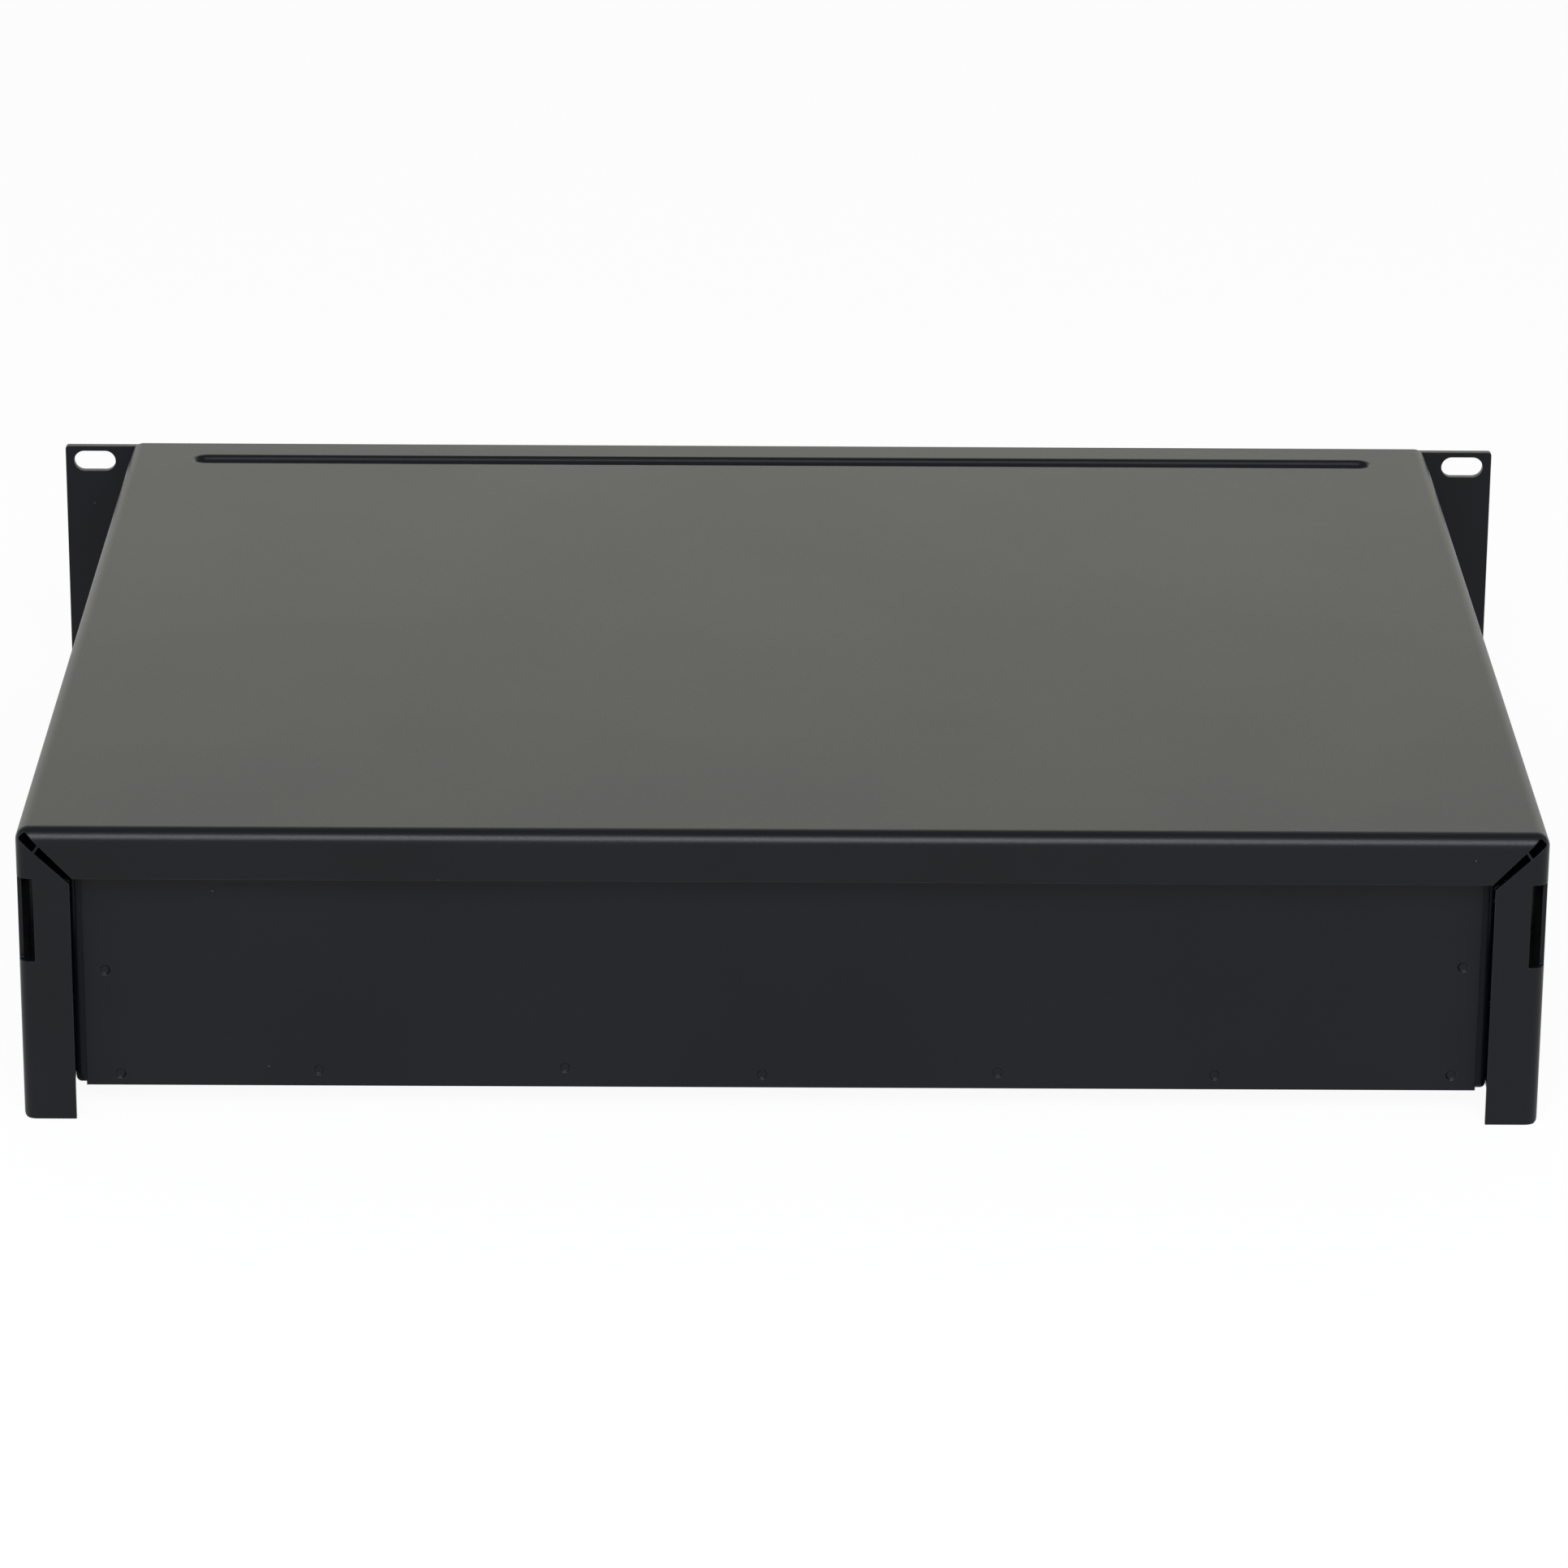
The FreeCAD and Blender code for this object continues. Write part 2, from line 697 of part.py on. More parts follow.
def make_ear(name, side):
    body = new_body(f"rack_ear_{name}")
    inner = f"{side} * ({INNER_WALL} - ear_gauge)"
    outer = f"{side} * {EAR_OUTER}"
    drawing = sketch(body, "XZ_Plane", "-ear_gauge")
    rectangle(drawing, inner, outer, f"-{EAR_TOP}", EAR_TOP)
    add(body, drawing, "ear_gauge")
    drawing = sketch(body, "XZ_Plane", "-ear_gauge / 2")
    for sign in ("", "-"):
        rectangle(drawing, inner, f"{side} * {INNER_WALL}", f"{sign}{TAB_LOW}", f"{sign}{TAB_HIGH}")
    add(body, drawing, "tab_reach + ear_gauge / 2")
    shape = body.Tip.Shape
    corners = edges(shape, "y", [(outer, EAR_TOP), (outer, f"-{EAR_TOP}")])
    dress(body, "Fillet", corners, "ear_corner")
    shape = body.Tip.Shape
    dress(body, "Fillet", edges(shape, "z", [(inner, "-ear_gauge")]), "ear_bend")
    drawing = sketch(body, "XZ_Plane", "-ear_gauge - cut_margin")
    for sign in ("", "-"):
        slot(
            drawing,
            f"{side} * ({EAR_OUTER} - slot_inset)",
            f"{sign}({EAR_TOP} - slot_drop)",
            "slot_length",
            "slot_width",
        )
    cut(body, drawing, "ear_gauge + 2 * cut_margin")
    drawing = sketch(body, "YZ_Plane", f"{inner} - 2 * ear_gauge")
    for y, z in ear_rivet_places():
        circle(drawing, y, z, "(rivet_shank + rivet_clearance) / 2")
    cut(body, drawing, "4 * ear_gauge")
    return keep(body)


def make_rivets(label, side, grip, places):
    """Domed rivets through the side wall, heads outside, clenched on the inside."""
    source = new_body(f"{label}_source")
    drawing = sketch(source, "XY_Plane")
    outline(
        drawing,
        [
            (f"-({grip}) - rivet_tail_height", "0"),
            ("rivet_head_height", "0"),
            ("rivet_head_height", "rivet_head / 2"),
            ("0", "rivet_head / 2"),
            ("0", "rivet_shank / 2"),
            (f"-({grip})", "rivet_shank / 2"),
            (f"-({grip})", "rivet_tail / 2"),
            (f"-({grip}) - rivet_tail_height", "rivet_tail / 2"),
        ],
    )
    revolve(source, drawing, "H_Axis")
    crown = rims(source.Tip.Shape, ("rivet_head_height", "0", "0"), "rivet_head / 2")
    dress(source, "Fillet", crown, "rivet_crown")
    turn = ((0, 0, 1), 0 if side > 0 else 180)
    wall = f"{side} * {HALF_WIDTH}"
    return group(label, source, [(wall, y, z) for y, z in places], turn)


def make_strike():
    """Bracket welded under the top sheet, behind which the cam turns."""
    body = new_body("lock_strike")
    drawing = sketch(body, "YZ_Plane", "-strike_width / 2")
    rear = f"({CAM_FRONT} - strike_gap)"
    outline(
        drawing,
        [
            (f"{rear} - strike_foot", INNER_TOP),
            (rear, INNER_TOP),
            (rear, f"{INNER_TOP} - strike_drop"),
            (f"{rear} - strike_gauge", f"{INNER_TOP} - strike_drop"),
            (f"{rear} - strike_gauge", f"{INNER_TOP} - strike_gauge"),
            (f"{rear} - strike_foot", f"{INNER_TOP} - strike_gauge"),
        ],
    )
    add(body, drawing, "strike_width")
    shape = body.Tip.Shape
    dress(body, "Fillet", edges(shape, "x", [(rear, INNER_TOP)]), "strike_bend")
    shape = body.Tip.Shape
    low = f"{INNER_TOP} - strike_drop"
    ends = [("-strike_width / 2", low), ("strike_width / 2", low)]
    dress(body, "Fillet", edges(shape, "y", ends), "strike_corner")
    return keep(body)


def make_cabinet_rail(name, side):
    body = new_body(f"cabinet_rail_{name}")
    drawing = sketch(body, "XZ_Plane", "rail_setback")
    race = from_wall(side, "outer_race")

    def at(depth):
        return from_wall(side, depth)

    upper = [
        (at("0"), CABINET_OUTSIDE),
        (at(f"outer_race - {BACK_CHORD}"), CABINET_OUTSIDE, race, OUTER_BALLS, RACE_BACK),
        (at(f"outer_race + {BACK_CHORD}"), CABINET_OUTSIDE),
        (at("cabinet_flange"), CABINET_OUTSIDE),
        (at("cabinet_flange"), CABINET_INSIDE),
        (at(f"outer_race + {RACE_CHORD}"), CABINET_INSIDE, race, OUTER_BALLS, RACE_RADIUS),
        (at(f"outer_race - {RACE_CHORD}"), CABINET_INSIDE),
        (at("rail_gauge"), CABINET_INSIDE),
    ]
    outline(drawing, both_ways(upper))
    add(body, drawing, RAIL_LENGTH)
    heel = [(at("0"), CABINET_OUTSIDE), (at("0"), f"-{CABINET_OUTSIDE}")]
    dress(body, "Fillet", edges(body.Tip.Shape, "y", heel), "rail_corner")
    drawing = sketch(body, "YZ_Plane", f"{side} * {INNER_WALL} - 2 * cut_margin")
    for y in rail_rivet_places():
        circle(drawing, y, "0", "(rivet_shank + rivet_clearance) / 2")
    peg_at = f"rail_setback + {RAIL_LENGTH} - bumper_length / 2"
    circle(drawing, peg_at, "0", "(bumper_peg + rivet_clearance) / 2")
    cut(body, drawing, "4 * cut_margin")
    return keep(body)


def make_bumper(name, side):
    """Rubber stop pegged into the rear end of the cabinet rail."""
    body = new_body(f"rail_bumper_{name}")
    start = f"rail_setback + {RAIL_LENGTH} - bumper_length"
    drawing = sketch(body, "XZ_Plane", start)
    rectangle(
        drawing,
        from_wall(side, "rail_gauge"),
        from_wall(side, "bumper_depth"),
        f"-{MIDDLE_OUTSIDE}",
        MIDDLE_OUTSIDE,
    )
    add(body, drawing, "bumper_length")
    face = from_wall(side, "bumper_depth")
    corners = [(face, MIDDLE_OUTSIDE), (face, f"-{MIDDLE_OUTSIDE}")]
    dress(body, "Fillet", edges(body.Tip.Shape, "y", corners), "bumper_length / 2")
    near = "0" if side < 0 else "bumper_peg_length"
    drawing = sketch(body, "YZ_Plane", from_wall(side, near))
    circle(drawing, f"{start} + bumper_length / 2", "0", "bumper_peg / 2")
    add(body, drawing, "bumper_peg_length")
    return keep(body)


def make_middle_rail(name, side):
    body = new_body(f"intermediate_rail_{name}")
    drawing = sketch(body, "XZ_Plane", MIDDLE_FRONT)
    outer = from_wall(side, "outer_race")
    inner = from_wall(side, "inner_race")

    def at(depth):
        return from_wall(side, depth)

    upper = [
        (at("middle_web"), MIDDLE_OUTSIDE),
        (at(f"outer_race - {RACE_CHORD}"), MIDDLE_OUTSIDE, outer, OUTER_BALLS, RACE_RADIUS),
        (at(f"outer_race + {RACE_CHORD}"), MIDDLE_OUTSIDE),
        (at(f"inner_race - {BACK_CHORD}"), MIDDLE_OUTSIDE, inner, INNER_BALLS, RACE_BACK),
        (at(f"inner_race + {BACK_CHORD}"), MIDDLE_OUTSIDE),
        (at("middle_flange"), MIDDLE_OUTSIDE),
        (at("middle_flange"), MIDDLE_INSIDE),
        (at(f"inner_race + {RACE_CHORD}"), MIDDLE_INSIDE, inner, INNER_BALLS, RACE_RADIUS),
        (at(f"inner_race - {RACE_CHORD}"), MIDDLE_INSIDE),
        (at(f"outer_race + {BACK_CHORD}"), MIDDLE_INSIDE, outer, OUTER_BALLS, RACE_BACK),
        (at(f"outer_race - {BACK_CHORD}"), MIDDLE_INSIDE),
        (at("middle_web + rail_gauge"), MIDDLE_INSIDE),
    ]
    outline(drawing, both_ways(upper))
    add(body, drawing, MIDDLE_LENGTH)
    heel = [(at("middle_web"), MIDDLE_OUTSIDE), (at("middle_web"), f"-{MIDDLE_OUTSIDE}")]
    dress(body, "Fillet", edges(body.Tip.Shape, "y", heel), "middle_corner")
    drawing = sketch(body, "YZ_Plane", f"{at('middle_web')} - 2 * cut_margin")
    for index in range(int(number("web_holes"))):
        circle(drawing, f"web_hole_first + {index} * web_hole_pitch", "0", "web_hole / 2")
    cut(body, drawing, "4 * cut_margin")
    return keep(body)


def make_drawer_rail(name, side):
    body = new_body(f"drawer_rail_{name}")
    drawing = sketch(body, "XZ_Plane", "rail_setback")
    race = from_wall(side, "inner_race")

    def at(depth):
        return from_wall(side, depth)

    upper = [
        (at("slide_depth"), DRAWER_OUTSIDE),
        (at(f"inner_race + {RACE_CHORD}"), DRAWER_OUTSIDE, race, INNER_BALLS, RACE_RADIUS),
        (at(f"inner_race - {RACE_CHORD}"), DRAWER_OUTSIDE),
        (at("drawer_flange"), DRAWER_OUTSIDE),
        (at("drawer_flange"), DRAWER_INSIDE),
        (at(f"inner_race - {BACK_CHORD}"), DRAWER_INSIDE, race, INNER_BALLS, RACE_BACK),
        (at(f"inner_race + {BACK_CHORD}"), DRAWER_INSIDE),
        (at("slide_depth - rail_gauge"), DRAWER_INSIDE),
    ]
    outline(drawing, both_ways(upper))
    add(body, drawing, f"{MIDDLE_LENGTH} + middle_setback")
    heel = [(at("slide_depth"), DRAWER_OUTSIDE), (at("slide_depth"), f"-{DRAWER_OUTSIDE}")]
    dress(body, "Fillet", edges(body.Tip.Shape, "y", heel), "drawer_corner")
    drawing = sketch(body, "YZ_Plane", f"{side} * {TRAY_HALF} - 3 * cut_margin")
    for y, z in rail_screw_places():
        circle(drawing, y, z, "screw_shank / 2 + running_clearance")
    circle(drawing, "rail_setback + lever_pivot", "0", "lever_pin / 2 + running_clearance")
    cut(body, drawing, "6 * cut_margin")
    return keep(body)


def rail_screw_places():
    holes = ("drawer_hole_front", "drawer_hole_middle", f"{RAIL_LENGTH} - drawer_hole_rear_inset")
    return [(f"rail_setback + {name}", "0") for name in holes]


def make_cage(name, side, which):
    """A ball cage: a thin channel with a row of ball pockets along each flange."""
    body = new_body(f"{which}_cage_{name}")
    web = OUTER_CAGE_WEB if which == "outer" else INNER_CAGE_WEB
    balls = OUTER_BALLS if which == "outer" else INNER_BALLS
    race = f"{which}_race"
    top = f"{balls} + cage_gauge / 2"
    under = f"{balls} - cage_gauge / 2"

    def at(depth):
        return from_wall(side, depth)

    upper = [
        (at(web), top),
        (at(f"{race} + cage_reach"), top),
        (at(f"{race} + cage_reach"), under),
        (at(f"{web} + cage_gauge"), under),
    ]
    drawing = sketch(body, "XZ_Plane", "cage_start")
    outline(drawing, both_ways(upper))
    add(body, drawing, "cage_length")
    heel = [(at(web), top), (at(web), f"-({top})")]
    dress(body, "Fillet", edges(body.Tip.Shape, "y", heel), "cage_gauge")
    drawing = sketch(body, "XY_Plane", f"-{TOP}")
    for index in range(int(number("balls_per_row"))):
        circle(
            drawing,
            at(race),
            f"{FIRST_BALL} + {index} * ball_pitch",
            "ball_size / 2 + pocket_clearance",
        )
    cut(body, drawing, "cover_height")
    return keep(body)


def make_balls(name, side, which):
    balls = OUTER_BALLS if which == "outer" else INNER_BALLS
    ball = document.addObject("Part::Sphere", f"{which}_ball_{name}")
    bind(ball, "Radius", "ball_size / 2")
    places = []
    for sign in ("", "-"):
        for index in range(int(number("balls_per_row"))):
            y = f"{FIRST_BALL} + {index} * ball_pitch"
            places.append((from_wall(side, f"{which}_race"), y, f"{sign}({balls})"))
    return group(f"{which}_balls_{name}", ball, places)


def make_lever(name, side):
    """Plastic release lever, swinging on a pin in the drawer rail's web."""
    body = new_body(f"release_lever_{name}")
    near = "slide_depth - rail_gauge - lever_slip"
    far = f"{near} - lever_thickness"
    low_depth = near if side > 0 else far
    pivot = "(rail_setback + lever_pivot)"
    drawing = sketch(body, "YZ_Plane", from_wall(side, low_depth))
    tip = f"({pivot} - lever_arm)"
    shoulder = f"({tip} + lever_pad_length)"
    outline(
        drawing,
        [
            (pivot, "-lever_waist / 2"),
            (pivot, "lever_waist / 2"),
            (f"{shoulder} + lever_waist", "lever_waist / 2"),
            (shoulder, "lever_pad / 2"),
            (tip, "lever_pad / 2"),
            (tip, "-lever_pad / 2"),
            (shoulder, "-lever_pad / 2"),
            (f"{shoulder} + lever_waist", "-lever_waist / 2"),
        ],
    )
    add(body, drawing, "lever_thickness")
    corners = [(tip, "lever_pad / 2"), (tip, "-lever_pad / 2")]
    dress(body, "Fillet", edges(body.Tip.Shape, "x", corners), "lever_pad_corner")
    drawing = sketch(body, "YZ_Plane", from_wall(side, low_depth))
    circle(drawing, pivot, "0", "lever_boss / 2")
    add(body, drawing, "lever_thickness")
    drawing = sketch(body, "YZ_Plane", f"{from_wall(side, low_depth)} - cut_margin")
    circle(drawing, pivot, "0", "lever_pin / 2 + running_clearance")
    cut(body, drawing, "lever_thickness + 2 * cut_margin")
    return keep(body)


def make_lever_pin(name, side):
    """Shouldered pin through the lever, clenched in the drawer rail's web."""
    body = new_body(f"lever_pin_{name}")
    drawing = sketch(body, "XY_Plane")
    grip = "(rail_gauge + 2 * lever_slip + lever_thickness)"
    outline(
        drawing,
        [
            ("0", "0"),
            (f"{grip} + rail_gauge / 2", "0"),
            (f"{grip} + rail_gauge / 2", "lever_pin_head / 2"),
            (grip, "lever_pin_head / 2"),
            (grip, "lever_pin / 2"),
            ("0", "lever_pin / 2"),
        ],
    )
    revolve(body, drawing, "H_Axis")
    body.Placement.Rotation = FreeCAD.Rotation(FreeCAD.Vector(0, 0, 1), 0 if side > 0 else 180)
    bind(body, "Placement.Base.x", f"{side} * {TRAY_HALF}")
    bind(body, "Placement.Base.y", "rail_setback + lever_pivot")
    document.recompute()
    return keep(body)


def make_screw(label, length, shank="screw_shank", head="screw_head", height="screw_head_height"):
    """A pan-head screw along X: the head's seat at zero, the shank towards +X."""
    body = new_body(label)
    drawing = sketch(body, "XY_Plane")
    outline(
        drawing,
        [
            (f"-({height})", "0"),
            (length, "0"),
            (length, f"({shank}) / 2 - screw_point"),
            (f"({length}) - screw_point", f"({shank}) / 2"),
            ("0", f"({shank}) / 2"),
            ("0", f"({head}) / 2"),
            (f"-({height})", f"({head}) / 2"),
        ],
    )
    revolve(body, drawing, "H_Axis")
    crown = rims(body.Tip.Shape, (f"-({height})", "0", "0"), f"({head}) / 2")
    dress(body, "Fillet", crown, "screw_edge")
    drawing = sketch(body, "YZ_Plane", f"-({height})")
    reach = "recess_length / 2"
    half = "recess_width / 2"
    outline(
        drawing,
        [
            (f"-{reach}", f"-{half}"),
            (f"-{half}", f"-{half}"),
            (f"-{half}", f"-{reach}"),
            (half, f"-{reach}"),
            (half, f"-{half}"),
            (reach, f"-{half}"),
            (reach, half),
            (half, half),
            (half, reach),
            (f"-{half}", reach),
            (f"-{half}", half),
            (f"-{reach}", half),
        ],
    )
    cut(body, drawing, "recess_depth")
    return body


def make_tray():
    body = new_body("drawer_tray")
    drawing = sketch(body, "XY_Plane", TRAY_BOTTOM)
    rectangle(drawing, f"-{TRAY_HALF}", TRAY_HALF, FRONT_BACK, TRAY_REAR)
    add(body, drawing, f"{TRAY_TOP} - {TRAY_BOTTOM}")
    sides = [f"-{TRAY_HALF}", TRAY_HALF]
    shape = body.Tip.Shape
    folds = edges(shape, "y", [(x, TRAY_BOTTOM) for x in sides])
    folds += edges(shape, "z", [(x, y) for x in sides for y in (FRONT_BACK, TRAY_REAR)])
    folds += edges(shape, "x", [(y, TRAY_BOTTOM) for y in (FRONT_BACK, TRAY_REAR)])
    dress(body, "Fillet", folds, "tray_fold")
    floor = f"({TRAY_BOTTOM} + tray_gauge)"
    inside = f"({TRAY_HALF} - tray_gauge)"
    rear = f"({TRAY_REAR} - tray_gauge)"
    tool = new_body("tray_hollow")
    drawing = sketch(tool, "XY_Plane", floor)
    rectangle(drawing, f"-{inside}", inside, TRAY_FRONT_INSIDE, rear)
    add(tool, drawing, f"{TRAY_TOP} - {floor} + cut_margin")
    walls = [f"-{inside}", inside]
    shape = tool.Tip.Shape
    folds = edges(shape, "y", [(x, floor) for x in walls])
    folds += edges(shape, "z", [(x, y) for x in walls for y in (TRAY_FRONT_INSIDE, rear)])
    folds += edges(shape, "x", [(y, floor) for y in (TRAY_FRONT_INSIDE, rear)])
    dress(tool, "Fillet", folds, "tray_fold - tray_gauge")
    hollow(body, tool)

    # The rear is open between the side flanges and above the upstand.
    drawing = sketch(body, "XZ_Plane", f"{TRAY_REAR} - tray_fold - cut_margin")
    opening = f"({TRAY_HALF} - tray_flange)"
    rectangle(
        drawing,
        f"-{opening}",
        opening,
        f"{TRAY_BOTTOM} + tray_upstand",
        f"{TRAY_TOP} + cut_margin",
    )
    cut(body, drawing, "tray_fold + 2 * cut_margin")
    # One lower rear corner is clipped.
    drawing = sketch(body, "XZ_Plane", f"{TRAY_REAR} - tray_fold")
    slope = "(corner_clip_up / corner_clip_across)"
    below = f"{TRAY_BOTTOM} - {slope} * cut_margin"
    beside = f"{TRAY_HALF} + cut_margin"
    above = f"{TRAY_BOTTOM} + corner_clip_up + {slope} * cut_margin"
    start = f"{TRAY_HALF} - corner_clip_across - cut_margin"
    outline(drawing, [(start, below), (beside, below), (beside, above)])
    cut(body, drawing, "tray_fold + cut_margin")

    # Holes: rail screws in the sides; lock, handle and fixing screws in the front wall.
    drawing = sketch(body, "YZ_Plane", f"-{TRAY_HALF} - cut_margin")
    for y, z in rail_screw_places():
        circle(drawing, y, z, "screw_shank / 2 + screw_clearance")
    cut(body, drawing, f"{TRAY_HALF} * 2 + 2 * cut_margin")
    drawing = sketch(body, "XZ_Plane", f"{FRONT_BACK} - cut_margin")
    front_holes(drawing, "screw_clearance")
    cut(body, drawing, "tray_gauge + 2 * cut_margin")
    return keep(body)


def handle_places():
    return [(f"{side} * pull_span / 2", "-pull_drop") for side in SIDES.values()]


def fixing_places():
    low = f"{TRAY_BOTTOM} + fixing_rise"
    high = f"{TRAY_TOP} - fixing_drop"
    places = []
    for side in SIDES.values():
        outer = f"{side} * ({TRAY_HALF} - fixing_inset)"
        places += [(outer, high), (outer, low), (f"{side} * fixing_inner", low)]
    return places


def double_flat(drawing, radius, flat):
    """A circle with two upright flats, about the lock's axis."""
    rise = f"sqrt(({radius})^2 - ({flat})^2)"
    centre = ("0", LOCK_HEIGHT)
    outline(
        drawing,
        [
            (flat, f"{LOCK_HEIGHT} - {rise}"),
            (flat, f"{LOCK_HEIGHT} + {rise}", *centre, radius),
            (f"-({flat})", f"{LOCK_HEIGHT} + {rise}"),
            (f"-({flat})", f"{LOCK_HEIGHT} - {rise}", *centre, radius),
        ],
    )


def front_holes(drawing, clearance):
    for x, z in handle_places():
        circle(drawing, x, z, f"screw_shank / 2 + {clearance}")
    for x, z in fixing_places():
        circle(drawing, x, z, f"screw_shank / 2 + {clearance}")
    double_flat(
        drawing, "lock_barrel / 2 + lock_hole_clearance", "lock_flat / 2 + lock_hole_clearance"
    )


def make_back():
    body = new_body("drawer_back")
    drawing = sketch(body, "XZ_Plane", TRAY_REAR)
    rectangle(drawing, f"-{BACK_HALF}", BACK_HALF, TRAY_BOTTOM, TRAY_TOP)
    add(body, drawing, "back_gauge")
    drawing = sketch(body, "XZ_Plane", f"{TRAY_REAR} + back_gauge - weld_depth")
    floor = "weld_size / 2 - weld_depth * tan(weld_slope * 1 deg)"
    for share, rise in BOTTOM_WELDS:
        circle(drawing, f"{share} * {BACK_HALF}", f"{TRAY_BOTTOM} + {rise}", floor)
    for side, (inset, rise) in SIDE_WELDS.items():
        circle(drawing, f"{side} * ({TRAY_HALF} - {inset})", f"{TRAY_BOTTOM} + {rise}", floor)
    cut(body, drawing, "weld_depth", "weld_slope")
    return keep(body)


def make_front():
    body = new_body("drawer_front")
    half = f"({INNER_WALL} - ear_gauge - front_side_gap)"
    drawing = sketch(body, "XZ_Plane", FRONT_FACE)
    rectangle(drawing, f"-{half}", half, f"-{FRONT_TOP}", FRONT_TOP)
    add(body, drawing, "front_gauge")
    corners = [(f"{x}{half}", f"{z}{FRONT_TOP}") for x in ("", "-") for z in ("", "-")]
    dress(body, "Fillet", edges(body.Tip.Shape, "y", corners), "front_corner")
    rim = edges(body.Tip.Shape, "x", [(FRONT_FACE, None)])
    dress(body, "Chamfer", rim, "front_edge")
    drawing = sketch(body, "XZ_Plane", f"{FRONT_FACE} - cut_margin")
    for x, z in handle_places():
        circle(drawing, x, z, "screw_shank / 2 + screw_clearance")
    double_flat(
        drawing, "lock_barrel / 2 + lock_hole_clearance", "lock_flat / 2 + lock_hole_clearance"
    )
    cut(body, drawing, "front_gauge + 2 * cut_margin")
    drawing = sketch(body, "XZ_Plane", f"{FRONT_BACK} + tray_gauge - fixing_length")
    for x, z in fixing_places():
        circle(drawing, x, z, "screw_shank / 2 + running_clearance")
    cut(body, drawing, "fixing_length")
    return keep(body)


def make_handle():
    """Bow handle: a round bar bent twice, tapped at both ends."""
    body = new_body("pull_handle")
    reach = f"({FRONT_FACE} - pull_reach + pull_bar / 2)"
    half = "(pull_span / 2)"
    path = sketch(body, "XY_Plane", "-pull_drop")
    outline(
        path,
        [
            (f"-{half}", FRONT_FACE),
            (f"-{half}", f"{reach} + pull_bend", f"-{half} + pull_bend", f"{reach} + pull_bend", "pull_bend"),
            (f"-{half} + pull_bend", reach),
            (f"{half} - pull_bend", reach, f"{half} - pull_bend", f"{reach} + pull_bend", "pull_bend"),
            (half, f"{reach} + pull_bend"),
            (half, FRONT_FACE),
        ],
        closed=False,
    )
    profile = sketch(body, "XZ_Plane", FRONT_FACE)
    circle(profile, f"-{half}", "-pull_drop", "pull_bar / 2")
    document.recompute()
    pipe = body.newObject("PartDesign::AdditivePipe", "AdditivePipe")
    pipe.Profile = profile
    pipe.Spine = (path, [f"Edge{index}" for index in range(1, len(path.Shape.Edges) + 1)])
    document.recompute()
    drawing = sketch(body, "XZ_Plane", f"{FRONT_FACE} - pull_tap_depth")
    for x, z in handle_places():
        circle(drawing, x, z, "screw_shank / 2 + running_clearance")
    cut(body, drawing, "pull_tap_depth + cut_margin")
    return keep(body)


def make_lock_housing():
    body = new_body("lock_housing")
    drawing = sketch(body, "XZ_Plane", f"{FRONT_FACE} - lock_flange_height")
    circle(drawing, "0", LOCK_HEIGHT, "lock_flange / 2")
    add(body, drawing, "lock_flange_height")
    front = f"({FRONT_FACE} - lock_flange_height)"
    rim = rims(body.Tip.Shape, ("0", front, LOCK_HEIGHT), "lock_flange / 2")
    dress(body, "Fillet", rim, "lock_flange_height / 2")
    drawing = sketch(body, "XZ_Plane", FRONT_FACE)
    double_flat(drawing, "lock_barrel / 2", "lock_flat / 2")
    add(body, drawing, f"lock_rear - {FRONT_FACE}")
    drawing = sketch(body, "XZ_Plane", f"{front} - cut_margin")
    circle(drawing, "0", LOCK_HEIGHT, "plug_size / 2 + running_clearance")
    cut(body, drawing, f"lock_rear - {front} + 2 * cut_margin")
    drawing = sketch(body, "XZ_Plane", f"{front} - cut_margin")
    circle(drawing, "0", LOCK_HEIGHT, "plug_cap / 2 + running_clearance")
    cut(body, drawing, "plug_cap_height + plug_recess + running_clearance + cut_margin")
    return keep(body)


def make_lock_nut():
    body = new_body("lock_nut")
    flat = "nut_across_flats / 2"
    corner = "nut_across_flats / sqrt(3)"
    drawing = sketch(body, "XZ_Plane", TRAY_FRONT_INSIDE)
    outline(
        drawing,
        [
            (corner, LOCK_HEIGHT),
            (f"{corner} / 2", f"{LOCK_HEIGHT} + {flat}"),
            (f"-{corner} / 2", f"{LOCK_HEIGHT} + {flat}"),
            (f"-{corner}", LOCK_HEIGHT),
            (f"-{corner} / 2", f"{LOCK_HEIGHT} - {flat}"),
            (f"{corner} / 2", f"{LOCK_HEIGHT} - {flat}"),
        ],
    )
    circle(drawing, "0", LOCK_HEIGHT, "lock_barrel / 2 + running_clearance")
    add(body, drawing, "nut_height")
    return keep(body)


